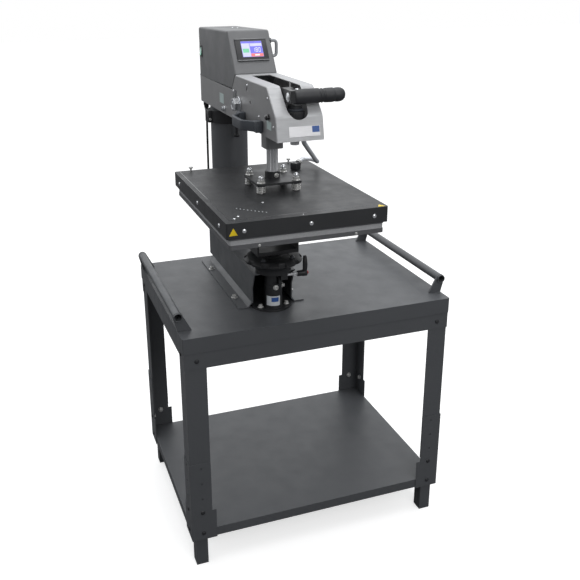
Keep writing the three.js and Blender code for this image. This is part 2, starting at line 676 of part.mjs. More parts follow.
function mountPlate() {
  const top = MOUNT_BOTTOM + MOUNT_T;
  let plate = slab(roundedRect(MOUNT_SIZE, MOUNT_SIZE, 5), MOUNT_BOTTOM, top);
  plate = join(plate, cut(post(0, 0, top - 1, top + 19, 20.5), post(0, 0, top, top + 20, RAM_R + 0.5)));
  for (const [, x, y] of STUDS) plate = cut(plate, post(x, y, 370, 385, 5.6, 12));
  return plate;
}

const heaterPlate = () =>
  slab(roundedRect(COVER_W - 14, COVER_L - 14, 6), PAD_TOP + GAP, PAD_TOP + GAP + HEATER_T);

function heaterCover() {
  const bottom = COVER_TOP - COVER_H;
  let cover = cut(slab(roundedRect(COVER_W, COVER_L, 5), bottom, COVER_TOP),
    slab(roundedRect(COVER_W - 4, COVER_L - 4, 3), bottom - 1, COVER_TOP - 2));
  for (const [, x, y] of STUDS) cover = cut(cover, post(x, y, COVER_TOP - 5, COVER_TOP + 1, 5.6, 12));
  return cover;
}

function stud(x, y) {
  const nut = MOUNT_BOTTOM + MOUNT_T + GAP;
  const seat = PAD_TOP + GAP + HEATER_T + GAP;
  return turned([[0, seat], [5, seat], [5, nut], [11, nut], [11, nut + 2.6], [8.6, nut + 2.6],
    [8.6, nut + 11], [7.4, nut + 12], [6.4, nut + 17], [3.6, nut + 20], [0, nut + 21]], x, y, 12);
}

function springSleeve(x, y) {
  const [z0, z1] = [COVER_TOP + GAP, MOUNT_BOTTOM - GAP];
  return turned([[7, z0], [13, z0], [13, z1], [7, z1], [7, z0]], x, y, 16);
}

const CONNECTOR = { x: 135, y: 172, turn: radians(36.5), tilt: radians(16), height: 27 };

function heaterConnector() {
  const base = COVER_TOP + GAP;
  const spout = geometryOf(bar(0, 14.2, 0, 0, 9.5, 20));
  spout.rotateY(-CONNECTOR.tilt);
  spout.translate(4, 0, base + 15.5);
  const geometry = geometryOf(join(box(-22, 10, -14, 14, base, base + CONNECTOR.height), solid(spout)));
  geometry.rotateZ(CONNECTOR.turn);
  geometry.translate(CONNECTOR.x, CONNECTOR.y, 0);
  return geometry;
}

// ---------------------------------------------------------------- cables
const CONDUIT_R = 6.5;
const CONDUIT_ROUTE = [
  [37, -131, 518], [39.2, -124.5, 511.5], [43, -116, 506], [48.6, -104.5, 499.6], [59.6, -80, 486.3],
  [81.9, -40, 467.5], [104.5, 0, 448.7], [128, 40, 429.3], [152, 80, 409], [172, 112.5, 391.6],
  [186, 136.5, 380.6], [194.1, 152.5, 375.8], [197.5, 165.5, 374], [193.9, 178.8, 374.8],
  [184.3, 188.4, 376.8], [171, 192, 378], [161.9, 190.4, 377], [155.2, 186.8, 375], [149.8, 182.8, 373],
];

const LEAD_R = 3.5;
const LEAD_ROUTE = [
  [-50, 488, 486.7], [-50, 488, 460], [-51, 486.5, 420], [-52, 484, 360], [-53, 481, 290],
  [-53, 478.5, 215], [-52, 476, 140], [-50, 474.8, 80], [-46, 474.4, 48], [-38, 474.2, 25],
  [-24, 474.1, 10.5], [-6, 474, 4.6], [16, 473.8, 3.9], [40, 473.4, 3.9], [60, 472, 3.9],
  [78, 466.5, 3.9], [92, 456, 3.9], [100, 445, 3.9], [102.8, 436, 3.9],
];
const COIL = { x: 152, y: 424, mean: 39, half: 7.2, height: 21.5 };
const PLUG = { x: 118.5, y: 336 };

function leadCoil() {
  const [r0, r1] = [COIL.mean - COIL.half, COIL.mean + COIL.half];
  const profile = [[r0, GAP], [r1, GAP], [r1, COIL.height], [r0, COIL.height], [r0, GAP]];
  return turned(profile, COIL.x, COIL.y, 28);
}

// A mains plug lying on the table, pins towards the front.
function plug() {
  const { x, y } = PLUG;
  const z = 19;
  const body = join(rod(y - 16, y + 18, x, z, 18.5, 24), rod(y + 17, y + 48, x, z, 8, 16));
  return join(body, rod(y - 35, y - 15, x - 9.5, z, 2.4, 12), rod(y - 35, y - 15, x + 9.5, z, 2.4, 12));
}

// ---------------------------------------------------------------- press
function press() {
  const group = new THREE.Group();
  add(group, 'base_shell', baseShell(), PAINT.base);
  add(group, 'pedestal', pedestal(), PAINT.black);
  add(group, 'receiver_casting', receiver(), PAINT.black);
  add(group, 'column_tube', columnTube(), PAINT.base);
  add(group, 'column_bush', columnBush(), BRONZE);
  add(group, 'stop_collar', stopCollar(), PAINT.black);
  add(group, 'clamp_stud', clampStud(), STEEL);
  add(group, 'clamp_lever', clampLever(), PLASTIC);
  add(group, 'clamp_button', clampButton(), RED);
  add(group, 'platen_carrier', platenCarrier(), PAINT.black);
  add(group, 'lower_platen', lowerPlaten(), ALUMINIUM);
  add(group, 'silicone_pad', siliconePad(), SILICONE);

  add(group, 'head_plate_left', headPlate(-1), PAINT.head);
  add(group, 'head_plate_right', headPlate(1), PAINT.head);
  add(group, 'head_cover', headCover(), PAINT.silver);
  add(group, 'control_housing', controlHousing(), PAINT.housing);
  add(group, 'display_module', displayModule(), PLASTIC);
  add(group, 'switch_frame', switchFrame(), PLASTIC);
  add(group, 'power_rocker', rocker(), GREEN);
  add(group, 'ram_guide', ramGuide(), PAINT.head);
  add(group, 'swing_hub', swingHub(), STEEL);
  add(group, 'pivot_pin', pivotPin(), CHROME);
  add(group, 'swing_handle', swingHandle(), PLASTIC);
  add(group, 'housing_handle', housingHandle(), PAINT.housing);
  add(group, 'swing_lock', swingLock(), PLASTIC);
  add(group, 'pressure_knob', pressureKnob(), PLASTIC);
  add(group, 'lever_arm', leverArm(), PAINT.black);
  add(group, 'lever_grip', leverGrip(), PLASTIC);
  add(group, 'pressure_beam', pressureBeam(), STEEL);

  add(group, 'ram_shaft', ramShaft(), STEEL);
  add(group, 'mount_plate', mountPlate(), PAINT.black);
  add(group, 'heater_plate', heaterPlate(), ALUMINIUM);
  add(group, 'heater_cover', heaterCover(), PAINT.heater);
  for (const [name, x, y] of STUDS) {
    add(group, `stud_${name}`, stud(x, y), CHROME);
    add(group, `spring_${name}`, springSleeve(x, y), STEEL);
  }
  add(group, 'heater_connector', heaterConnector(), PAINT.black);
  add(group, 'heater_conduit', swept(CONDUIT_ROUTE, CONDUIT_R, 8, 24), ALUMINIUM);
  add(group, 'lead_gland', leadGland(), PLASTIC);
  add(group, 'mains_lead', swept(LEAD_ROUTE, LEAD_R, 8, 36), PLASTIC);
  add(group, 'lead_coil', leadCoil(), PLASTIC);
  add(group, 'mains_plug', plug(), PLASTIC);
  group.position.set(PRESS_X, PRESS_Y, TABLE_H);
  return group;
}

const heatPress = new THREE.Group();
heatPress.add(table(), press());
heatPress.position.y = ORIGIN_Y;
heatPress.updateMatrixWorld(true);

export default heatPress;
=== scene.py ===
"""Looks of the swing-away heat press on its trolley table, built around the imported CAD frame."""
import json
import math

import bmesh
import bpy
from mathutils import Matrix, Vector

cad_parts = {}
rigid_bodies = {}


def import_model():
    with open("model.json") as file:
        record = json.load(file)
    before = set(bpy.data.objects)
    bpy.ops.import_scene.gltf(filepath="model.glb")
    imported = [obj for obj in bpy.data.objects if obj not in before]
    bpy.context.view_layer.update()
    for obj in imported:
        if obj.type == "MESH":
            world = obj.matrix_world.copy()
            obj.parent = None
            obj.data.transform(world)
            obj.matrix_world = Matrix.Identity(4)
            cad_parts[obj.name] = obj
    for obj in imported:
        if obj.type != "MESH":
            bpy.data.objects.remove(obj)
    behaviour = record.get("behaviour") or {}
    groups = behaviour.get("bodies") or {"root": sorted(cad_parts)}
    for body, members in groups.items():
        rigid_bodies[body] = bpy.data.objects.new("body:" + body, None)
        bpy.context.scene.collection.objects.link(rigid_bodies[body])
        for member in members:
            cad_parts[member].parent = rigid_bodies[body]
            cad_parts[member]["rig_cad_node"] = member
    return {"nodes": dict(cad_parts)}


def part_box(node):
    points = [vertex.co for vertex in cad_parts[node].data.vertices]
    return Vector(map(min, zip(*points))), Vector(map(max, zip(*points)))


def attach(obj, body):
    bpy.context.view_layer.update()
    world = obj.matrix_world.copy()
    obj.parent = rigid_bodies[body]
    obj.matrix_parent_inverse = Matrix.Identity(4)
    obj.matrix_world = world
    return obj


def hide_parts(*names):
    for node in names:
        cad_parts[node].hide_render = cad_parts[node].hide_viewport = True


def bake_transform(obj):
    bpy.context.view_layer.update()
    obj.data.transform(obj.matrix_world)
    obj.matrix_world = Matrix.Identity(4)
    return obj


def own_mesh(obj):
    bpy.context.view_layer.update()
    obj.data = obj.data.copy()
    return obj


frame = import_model()
for extra in [o for o in bpy.data.objects if "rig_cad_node" not in o and not o.name.startswith("body:")]:
    bpy.data.objects.remove(extra)
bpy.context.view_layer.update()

NODES = frame["nodes"]
MM = 0.001
TAU = 2 * math.pi

# ---------------- places
# Press millimetres: x and y from the platen's centre, z from the table top, as the CAD part counts them.
cover_low, cover_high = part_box("heater_cover")
TABLE_LOW, TABLE_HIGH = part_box("table_top")
PRESS = Vector(((cover_low.x + cover_high.x) / 2, (cover_low.y + cover_high.y) / 2, TABLE_HIGH.z))
TABLE = Vector(((TABLE_LOW.x + TABLE_HIGH.x) / 2, (TABLE_LOW.y + TABLE_HIGH.y) / 2, 0))


def at(x, y, z):
    """A point in the row frame, from press millimetres."""
    return PRESS + Vector((x, y, z)) * MM


def table_at(x, y, z):
    """A point in the row frame, from millimetres counted from the table's middle on the floor."""
    return TABLE + Vector((x, y, z)) * MM


# ---------------- camera
camera_data = bpy.data.cameras.new("camera")
camera_data.lens = 48.03
camera_data.sensor_width = 36
camera_data.shift_x = 0.0249
camera_data.shift_y = -0.0770
camera = bpy.data.objects.new("camera", camera_data)
camera.location = table_at(-775.6, -2098.4, 1632.3)
camera.rotation_euler = [math.radians(a) for a in (70.798, 0.376, -19.600)]
bpy.context.scene.collection.objects.link(camera)
bpy.context.scene.camera = camera


# ---------------- mesh tools
def new_object(name, bm, smooth=35):
    mesh = bpy.data.meshes.new(name)
    bmesh.ops.recalc_face_normals(bm, faces=bm.faces)
    bm.to_mesh(mesh)
    bm.free()
    mesh.shade_smooth()
    mesh.set_sharp_from_angle(angle=math.radians(smooth))
    obj = bpy.data.objects.new(name, mesh)
    bpy.context.scene.collection.objects.link(obj)
    return obj


def sheet(obj, thickness, smooth=40):
    """Gives a surface its sheet thickness inwards, with crisp rims and flats that stay flat."""
    shell = obj.modifiers.new("sheet", "SOLIDIFY")
    shell.thickness = thickness * MM
    shell.offset = -1
    solid = bpy.data.meshes.new_from_object(obj.evaluated_get(bpy.context.evaluated_depsgraph_get()))
    obj.modifiers.clear()
    obj.data = solid
    solid.shade_smooth()
    solid.set_sharp_from_angle(angle=math.radians(smooth))
    weighted = obj.modifiers.new("weighted", "WEIGHTED_NORMAL")
    weighted.keep_sharp = True


def on_axis(origin, axis):
    """A matrix that puts +Z on axis, with its origin at that point."""
    turn = Vector(axis).normalized().to_track_quat("Z", "Y")
    return Matrix.Translation(origin) @ turn.to_matrix().to_4x4()


def moved(place, x, y, z):
    """The same matrix, moved along its own axes in millimetres."""
    return place @ Matrix.Translation(Vector((x, y, z)) * MM)


def upright(x, y):
    """A matrix at (x, y) in press millimetres, its Z counted up from the table top."""
    return Matrix.Translation(at(x, y, 0))


def lathe(bm, profile, place, steps=48, wave=None, phase=0.0):
    """Turns an (r, z) profile in millimetres about place's Z. wave(angle, r, z) can change a radius."""
    rings = []
    for r, z in profile:
        if r < 1e-6:
            rings.append([bm.verts.new(place @ Vector((0, 0, z * MM)))])
            continue
        ring = []
        for i in range(steps):
            a = phase + TAU * i / steps
            radius = (wave(a, r, z) if wave else r) * MM
            ring.append(bm.verts.new(place @ Vector((radius * math.cos(a), radius * math.sin(a), z * MM))))
        rings.append(ring)
    for low, high in zip(rings, rings[1:]):
        for i in range(steps):
            j = (i + 1) % steps
            if len(low) == 1 and len(high) == 1:
                continue
            if len(low) == 1:
                bm.faces.new((low[0], high[j], high[i]))
            elif len(high) == 1:
                bm.faces.new((low[i], low[j], high[0]))
            else:
                bm.faces.new((low[i], low[j], high[j], high[i]))


def rolled_edge(radius, steps=3):
    """A quarter turn from a flat round to its side, as (outward, inward) millimetres."""
    turns = [k * math.pi / 2 / steps for k in range(steps + 1)]
    return [(radius * math.sin(a), radius * (1 - math.cos(a))) for a in turns]


def rounded(r, z0, z1, edge=0.6):
    """The profile of a plain turned disc with rounded edges."""
    arc = rolled_edge(edge)
    outer = [(r - edge + dx, z0 + dz) for dx, dz in arc]
    outer += [(r - edge + dx, z1 - dz) for dx, dz in reversed(arc)]
    return [(0, z0)] + outer + [(0, z1)]


def dome(radius, base, rise):
    """The profile of a dome's side, from its rim almost to its top."""
    turns = [k * math.pi / 14 for k in range(7)]
    return [(radius * math.cos(a), base + rise * math.sin(a)) for a in turns]


def cube(bm, size, place, radius=0.0, segments=3):
    """A box of that size in millimetres about place's origin, with rounded edges."""
    local = bmesh.new()
    bmesh.ops.create_cube(local, size=1.0)
    bmesh.ops.scale(local, vec=Vector(size) * MM, verts=local.verts)
    if radius:
        bmesh.ops.bevel(local, geom=list(local.edges), offset=radius * MM, segments=segments, profile=0.5,
                        affect="EDGES", clamp_overlap=True)
    bmesh.ops.transform(local, matrix=place, verts=local.verts)
    mesh = bpy.data.meshes.new("part")
    local.to_mesh(mesh)
    local.free()
    bm.from_mesh(mesh)
    bpy.data.meshes.remove(mesh)


def block(bm, low, high, radius=1.0, segments=3):
    """A box between two press-millimetre corners, with rounded edges."""
    middle = at(*[(a + b) / 2 for a, b in zip(low, high)])
    cube(bm, [b - a for a, b in zip(low, high)], Matrix.Translation(middle), radius, segments)


def slab(bm, origin, up, out, spans, radius=0.0):
    """A box on a tilted plane, from its (low, high) spans to the right, up and out of the plane."""
    turn = Matrix((Vector((1, 0, 0)), up, out)).transposed()
    middle = origin + turn @ Vector([(a + b) / 2 for a, b in spans]) * MM
    cube(bm, [b - a for a, b in spans], Matrix.Translation(middle) @ turn.to_4x4(), radius)


def loft(bm, rings, closed=False, foot=True):
    """Skins a chain of rings. An open chain gets its ends capped, the first one only with a foot."""
    count = len(rings[0])
    for a, b in zip(rings, rings[1:] + rings[:1] if closed else rings[1:]):
        for i in range(count):
            j = (i + 1) % count
            bm.faces.new((a[i], a[j], b[j], b[i]))
    if not closed:
        if foot:
            bm.faces.new(rings[0][::-1])
        bm.faces.new(rings[-1])


def path_frames(points):
    """Tangents and a steady normal along a list of points."""
    last = len(points) - 1
    tangents = [(points[min(i + 1, last)] - points[max(i - 1, 0)]).normalized() for i in range(last + 1)]
    guess = Vector((0, 0, 1)) if abs(tangents[0].z) < 0.9 else Vector((1, 0, 0))
    normal = (guess - tangents[0] * guess.dot(tangents[0])).normalized()
    normals = [normal]
    for a, b in zip(tangents, tangents[1:]):
        normal = a.rotation_difference(b) @ normal
        normal = (normal - b * normal.dot(b)).normalized()
        normals.append(normal)
    return tangents, normals


def sweep(bm, points, section, scale=None):
    """Sweeps an open chain of points with a closed section of (u, v) millimetres."""
    rings = []
    for i, (p, t, n) in enumerate(zip(points, *path_frames(points))):
        side = t.cross(n)
        k = scale(i) if scale else 1.0
        rings.append([bm.verts.new(p + (n * v + side * u) * MM * k) for u, v in section])
    loft(bm, rings)


def circle(radius, sides):
    return [(radius * math.cos(TAU * i / sides), radius * math.sin(TAU * i / sides)) for i in range(sides)]


def rounded_rectangle(width, height, radius, steps=4):
    points = []
    for cx, cy, start in ((1, 1, 0), (-1, 1, 1), (-1, -1, 2), (1, -1, 3)):
        for k in range(steps + 1):
            a = (start + k / steps) * math.pi / 2
            points.append((cx * (width / 2 - radius) + radius * math.cos(a),
                           cy * (height / 2 - radius) + radius * math.sin(a)))
    return points


def smooth_path(points, step=4.0):
    """A Catmull-Rom curve through points, with a point about every step millimetres."""
    ends = [points[0] * 2 - points[1]] + list(points) + [points[-1] * 2 - points[-2]]
    out = []
    for a, b, c, d in zip(ends, ends[1:], ends[2:], ends[3:]):
        parts = max(1, round((c - b).length / (step * MM)))
        for k in range(parts):
            t = k / parts
            out.append(0.5 * (2 * b + (c - a) * t + (2 * a - 5 * b + 4 * c - d) * t * t
                              + (3 * b - a - 3 * c + d) * t ** 3))
    out.append(points[-1].copy())
    return out


def hexagon(bm, place, flat, z0, z1):
    """A hexagon nut or head across flats, chamfered on its outer end."""
    corner = flat / math.sqrt(3)
    chamfer = 0.72
    lathe(bm, [(0, z0), (corner, z0), (corner, z1 - chamfer), (flat / 2 - 0.2, z1), (0, z1)], place, 6,
          phase=math.pi / 6)


def cap_screw(bm, place, radius, height=None):
    """A socket cap screw's head, with its hexagon recess."""
    h = height or radius * 1.1
    recess = radius * 0.58
    lathe(bm, [(0, 0), (radius, 0), (radius, h * 0.88), (radius * 0.9, h), (recess, h)], place, 24)
    lathe(bm, [(recess, h), (radius * 0.55, h * 0.45), (0, h * 0.4)], place, 6)


def pan_screw(bm, place, radius):
    """A low domed screw head."""
    h = radius * 0.55
    lathe(bm, [(0, 0), (radius, 0), (radius * 0.98, h * 0.35), (radius * 0.8, h * 0.75),
               (radius * 0.5, h * 0.97), (0, h)], place, 20)


def dome_bolt(bm, place, radius):
    """A domed coach-bolt head."""
    rim, rise = 0.4, 0.45 * radius
    turns = [k * math.pi / 12 for k in range(6)]
    arc = [(radius * math.cos(a), rise * math.sin(a) + rim) for a in turns]
    lathe(bm, [(0, 0), (radius, 0)] + arc + [(0, rise + rim)], place, 24)


# ---------------- materials
WHITE = (1, 1, 1, 1)
MIDDLE = (0.3, 0.7)      # the part of a noise that colours and roughness are spread over
CLOUDING = 0.06          # how far a paint's strength drifts


def srgb(*levels):
    """Linear colour from 0 to 255 screen levels."""
    parts = [v / 255 for v in levels]
    return tuple(p / 12.92 if p <= 0.04045 else ((p + 0.055) / 1.055) ** 2.4 for p in parts) + (1.0,)


def wire(tree, node, inputs):
    """Sets a node's inputs, and links those that are given as another node's socket."""
    for name, value in inputs.items():
        if isinstance(value, bpy.types.NodeSocket):
            tree.links.new(value, node.inputs[name])
        else:
            node.inputs[name].default_value = value
    return node


def wired(tree, kind, inputs):
    """A new shader node with its inputs wired."""
    return wire(tree, tree.nodes.new("ShaderNode" + kind), inputs)


def map_range(tree, value, span, result):
    """A node that carries a value from one span to another."""
    names = ("From Min", "From Max", "To Min", "To Max")
    return wired(tree, "MapRange", {"Value": value, **dict(zip(names, (*span, *result)))})


def camera_sees(tree, seen, other, output):
    """Shows one shader to the camera, and the other to every other ray."""
    rays = wired(tree, "LightPath", {})
    inputs = {0: rays.outputs["Is Camera Ray"], 1: other.outputs[0], 2: seen.outputs[0]}
    choice = wired(tree, "MixShader", inputs)
    wire(tree, tree.nodes[output], {"Surface": choice.outputs[0]})


class Look:
    """One procedural material, built on a Principled shader in object coordinates."""

    def __init__(self, name, metallic=0.0, coat=0.0, coat_roughness=0.2):
        self.material = bpy.data.materials.new(name)
        self.material.use_nodes = True
        self.tree = self.material.node_tree
        self.shader = self.tree.nodes["Principled BSDF"]
        self.set({"Metallic": metallic, "IOR": 1.5, "Coat Weight": coat, "Coat Roughness": coat_roughness})
        self.place = wired(self.tree, "TexCoord", {}).outputs["Object"]

    def set(self, inputs):
        wire(self.tree, self.shader, inputs)

    def noise(self, scale, detail=2.0, roughness=0.5, stretch=None):
        place = self.place
        if stretch:
            place = wired(self.tree, "Mapping", {"Scale": stretch, "Vector": place}).outputs["Vector"]
        inputs = {"Scale": scale, "Detail": detail, "Roughness": roughness, "Vector": place}
        return wired(self.tree, "TexNoise", inputs).outputs["Fac"]

    def ramp(self, factor, low, high):
        node = wired(self.tree, "ValToRGB", {"Fac": factor})
        for element, position, colour in zip(node.color_ramp.elements, MIDDLE, (low, high)):
            element.position = position
            element.color = colour
        return node.outputs["Color"]

    def shades(self, factor, colour, low, high):
        """One colour between two strengths."""
        return self.ramp(factor, tone(colour, low), tone(colour, high))

    def spread(self, factor, low, high):
        return map_range(self.tree, factor, MIDDLE, (low, high)).outputs["Result"]

    def mix(self, a, b):
        node = wired(self.tree, "Mix", {})
        node.data_type = "RGBA"
        return wire(self.tree, node, {"Factor": 0.5, "A": a, "B": b}).outputs["Result"]

    def bump(self, factor, strength, distance):
        node = wired(self.tree, "Bump", {"Strength": strength, "Distance": distance, "Height": factor})
        self.set({"Normal": node.outputs["Normal"]})


def tone(colour, factor):
    return tuple(min(1.0, c * factor) for c in colour[:3]) + (1.0,)


def powder_coat(name, colour, roughness, metallic=0.0, relief=0.1, grain=900):
    """Baked powder paint: a fine orange peel, faint clouding and small dull patches."""
    look = Look(name, metallic)
    speckle = 1.6 * CLOUDING
    cloud = look.shades(look.noise(7, 3), colour, 1 - CLOUDING, 1 + CLOUDING)
    speck = look.shades(look.noise(grain, 2), colour, 1 - speckle, 1 + speckle)
    look.set({"Base Color": look.mix(cloud, speck),
              "Roughness": look.spread(look.noise(18, 4, 0.6), roughness - 0.06, roughness + 0.08)})
    look.bump(look.noise(grain * 0.7, 2), relief, 0.0006)
    return look.material


def plain_metal(name, colour, roughness, stretch, relief=0.05, spread=0.08, scale=60, metallic=1.0):
    """Bare or plated metal with a directional finish: fine lines along the axis that isn't stretched."""
    look = Look(name, metallic)
    lines = look.noise(scale, 4, 0.6, stretch)
    wear = look.noise(scale * 0.8, 3, 0.5, stretch)
    look.set({"Base Color": look.shades(lines, colour, 1 - spread, 1 + spread),
              "Roughness": look.spread(wear, roughness * 0.75, roughness * 1.3)})
    look.bump(lines, relief, 0.0002)
    return look.material


def moulded(name, colour, roughness=0.45, grain=1400, relief=0.15, coat=0.0):
    """Moulded plastic: fine spark-eroded grain and slight handling shine."""
    look = Look(name, coat=coat)
    look.set({"Base Color": look.shades(look.noise(25, 4), colour, 0.88, 1.15),
              "Roughness": look.spread(look.noise(14, 3), roughness - 0.07, roughness + 0.09)})
    look.bump(look.noise(grain, 2), relief, 0.0003)
    return look.material


def silicone_look(name, colour):
    """Foamed silicone: dull, faintly mottled, with open pores on its cut edge."""
    look = Look(name)
    mottled = look.shades(look.noise(240, 4), colour, 0.85, 1.15)
    cloud = look.shades(look.noise(10, 2), colour, 0.93, 1.07)
    dull = look.spread(look.noise(60, 2), 0.72, 0.9)
    look.set({"Base Color": look.mix(mottled, cloud), "Roughness": dull})
    look.bump(look.noise(700, 3), 0.3, 0.0008)
    return look.material


def lit_screen(name, colour):
    """A lit field of the touch screen under its glass, a little uneven like a real backlight."""
    look = Look(name, coat=1.0, coat_roughness=0.06)
    look.set({"Emission Color": look.shades(look.noise(60, 2), colour, 0.9, 1.05), "Emission Strength": 0.85,
              "Base Color": look.shades(look.noise(60, 2), colour, 0.1, 0.14), "Roughness": 0.3})
    return look.material


FINISHES = {
    "table_paint": (powder_coat, (79, 81, 84), 0.42),
    "base_paint": (powder_coat, (84, 86, 89), 0.42, 0.1),
    "column_paint": (powder_coat, (100, 102, 105), 0.33, 0.2, 0.05),
    "black_paint": (powder_coat, (40, 41, 43), 0.42),
    "head_paint": (powder_coat, (142, 142, 143), 0.42, 0.1),
    "silver_paint": (plain_metal, (176, 177, 179), 0.5, (1.2, 14, 14), 0.04, 0.04, 24, 0.25),
    "housing_paint": (powder_coat, (106, 107, 109), 0.5),
    "heater_paint": (powder_coat, (43, 44, 46), 0.46),
    "steel": (plain_metal, (208, 209, 212), 0.34, (6, 6, 1.2), 0.02, 0.03, 60, 0.3),
    "chrome": (plain_metal, (226, 228, 231), 0.12, (3, 3, 3), 0.01, 0.03, 12, 0.8),
    "zinc": (plain_metal, (206, 206, 204), 0.28, (4, 4, 4), 0.03, 0.06, 90, 0.5),
    "braid": (plain_metal, (232, 235, 240), 0.42, (2, 2, 2), 0.2, 0.15, 500, 0.25),
    "aluminium": (plain_metal, (118, 119, 121), 0.42, (1.5, 18, 18), 0.06, 0.07, 40, 0.7),
    "silicone": (silicone_look, (160, 161, 163)),
    "black_plastic": (moulded, (36, 37, 40)),
    "grip_rubber": (moulded, (42, 43, 46), 0.55, 1100, 0.2),
    "slate_plastic": (moulded, (66, 70, 76), 0.42, 1200, 0.12),
    "cord_sheath": (moulded, (26, 26, 28), 0.5, 900, 0.08),
    "red_plastic": (moulded, (186, 36, 40), 0.35, 1500, 0.05, 0.3),
    "green_plastic": (moulded, (90, 200, 160), 0.2, 1500, 0.03, 0.5),
    "bronze": (plain_metal, (150, 118, 66), 0.35, (6, 6, 6)),
    "cast_black": (powder_coat, (40, 41, 43), 0.5, 0.0, 0.25, 260),
    "gloss_black": (moulded, (20, 20, 22), 0.12, 1500, 0.02, 0.6),
    "dark_zinc": (plain_metal, (110, 112, 116), 0.35, (4, 4, 4), 0.03, 0.08, 90),
    "bow_grey": (moulded, (150, 152, 156), 0.4, 1300, 0.06),
    "yellow_label": (moulded, (226, 196, 30), 0.4, 900, 0.03),
    "pale_label": (moulded, (186, 202, 200), 0.35, 900, 0.03),
    "white_label": (moulded, (206, 210, 214), 0.35, 900, 0.03),
    "blue_label": (moulded, (46, 84, 150), 0.35, 900, 0.03),
    "plate_silver": (plain_metal, (206, 206, 208), 0.4, (1.5, 18, 18), 0.02, 0.04, 40, 0.6),
    "screen_violet": (lit_screen, (150, 146, 250)),
    "screen_blue": (lit_screen, (86, 84, 240)),
    "screen_pale": (lit_screen, (212, 214, 255)),
    "screen_green": (lit_screen, (92, 214, 158)),
    "screen_red": (lit_screen, (246, 92, 92)),
    "screen_white": (lit_screen, (252, 252, 255)),
}
LOOKS = {name: make(name, srgb(*colour), *rest) for name, (make, colour, *rest) in FINISHES.items()}


def paint(obj, look):
    obj.data.materials.clear()
    obj.data.materials.append(LOOKS[look])


def dress(obj, look, body, replaces=()):
    """Paints a piece and lets it ride on its body."""
    paint(obj, look)
    if replaces:
        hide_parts(*replaces)
    if body:
        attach(obj, body)
    return obj


def piece(name, bm, look, body, replaces=(), smooth=35):
    """Makes and dresses a mesh piece."""
    return dress(new_object(name, bm, smooth), look, body, replaces)


def turned(name, profile, place, steps, look, body, replaces=(), smooth=35, wave=None):
    """Makes and dresses a piece that is one turned shape."""
    bm = bmesh.new()
    lathe(bm, profile, place, steps, wave)
    return piece(name, bm, look, body, replaces, smooth)


# ---------------- cords
CONDUIT_ROUTE = [
    (37, -131, 518), (39.2, -124.5, 511.5), (43, -116, 506), (48.6, -104.5, 499.6), (59.6, -80, 486.3),
    (81.9, -40, 467.5), (104.5, 0, 448.7), (128, 40, 429.3), (152, 80, 409), (172, 112.5, 391.6),
    (186, 136.5, 380.6), (194.1, 152.5, 375.8), (197.5, 165.5, 374), (193.9, 178.8, 374.8),
    (184.3, 188.4, 376.8), (171, 192, 378), (161.9, 190.4, 377), (155.2, 186.8, 375), (149.8, 182.8, 373),
]
CONDUIT_R = 6.5
LEAD_R = 3.5
LEAD_ROUTE = [
    (-50, 488, 486.7), (-50, 488, 460), (-51, 486.5, 420), (-52, 484, 360), (-53, 481, 290),
    (-53, 478.5, 215), (-52, 476, 140), (-50, 474.8, 80), (-46, 474.4, 48), (-38, 474.2, 25),
    (-24, 474.1, 10.5), (-6, 474, 4.6), (16, 473.8, 3.9), (40, 473.4, 3.9), (60, 472, 3.9),
    (78, 466.5, 3.9), (92, 456, 3.9), (100, 445, 3.9), (102.8, 436, 3.9),
]
coil_low, coil_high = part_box("lead_coil")
COIL_X = (coil_low.x + coil_high.x) / 2
COIL_Y = (coil_low.y + coil_high.y) / 2
COIL_OUT = (coil_high.x - coil_low.x) / 2 / MM - LEAD_R - 0.3
COIL_IN = COIL_OUT - 2 * LEAD_R
plug_low, plug_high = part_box("mains_plug")
PLUG_X = (plug_low.x + plug_high.x) / 2


def coil_points():
    """Five turns, two abreast and three high, as (radius, height) at each turn's start and end."""
    low, middle, high = 3.9, 10.9, 17.9
    turns = [(COIL_OUT, low), (COIL_IN, low), (COIL_IN, middle), (COIL_OUT, middle), (COIL_OUT, high)]
    changes = [turns[0]] + turns
    points = []
    steps = 36
    for k, (before, now) in enumerate(zip(changes, changes[1:])):
        for i in range(steps):
            share = min(1.0, (i + 1) / (steps * 0.16))
            ease = share * share * (3 - 2 * share)
            radius = before[0] + (now[0] - before[0]) * ease
            z = before[1] + (now[1] - before[1]) * ease
            if k == 0 and i < 3:
                continue
            a = math.pi + TAU * (i / steps)
            points.append(Vector((COIL_X + radius * MM * math.cos(a), COIL_Y + radius * MM * math.sin(a),
                                  TABLE_HIGH.z + z * MM)))
    return points


def braided(bm, points, radius, sides=20):
    """A hose in a wire braid: small crossing ridges all along it."""
    fine = smooth_path(points, 1.6)
    ridge, depth = 0.35, 0.4
    rings = []
    for i, (p, t, n) in enumerate(zip(fine, *path_frames(fine))):
        side = t.cross(n)
        ring = []
        for k in range(sides):
            a = TAU * k / sides
            weave = ridge if (i + k) % 2 == 0 else -ridge
            out = n * math.cos(a) + side * math.sin(a)
            ring.append(bm.verts.new(p + out * (radius - depth + weave) * MM))
        rings.append(ring)
    loft(bm, rings)
    return fine


def make_conduit():
    """The braided hose that carries the heater's wires from the head to its connector."""
    bm = bmesh.new()
    line = braided(bm, [at(*p) for p in CONDUIT_ROUTE], CONDUIT_R)
    obj = piece("conduit", bm, "braid", None, replaces=["heater_conduit"], smooth=80)
    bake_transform(obj)


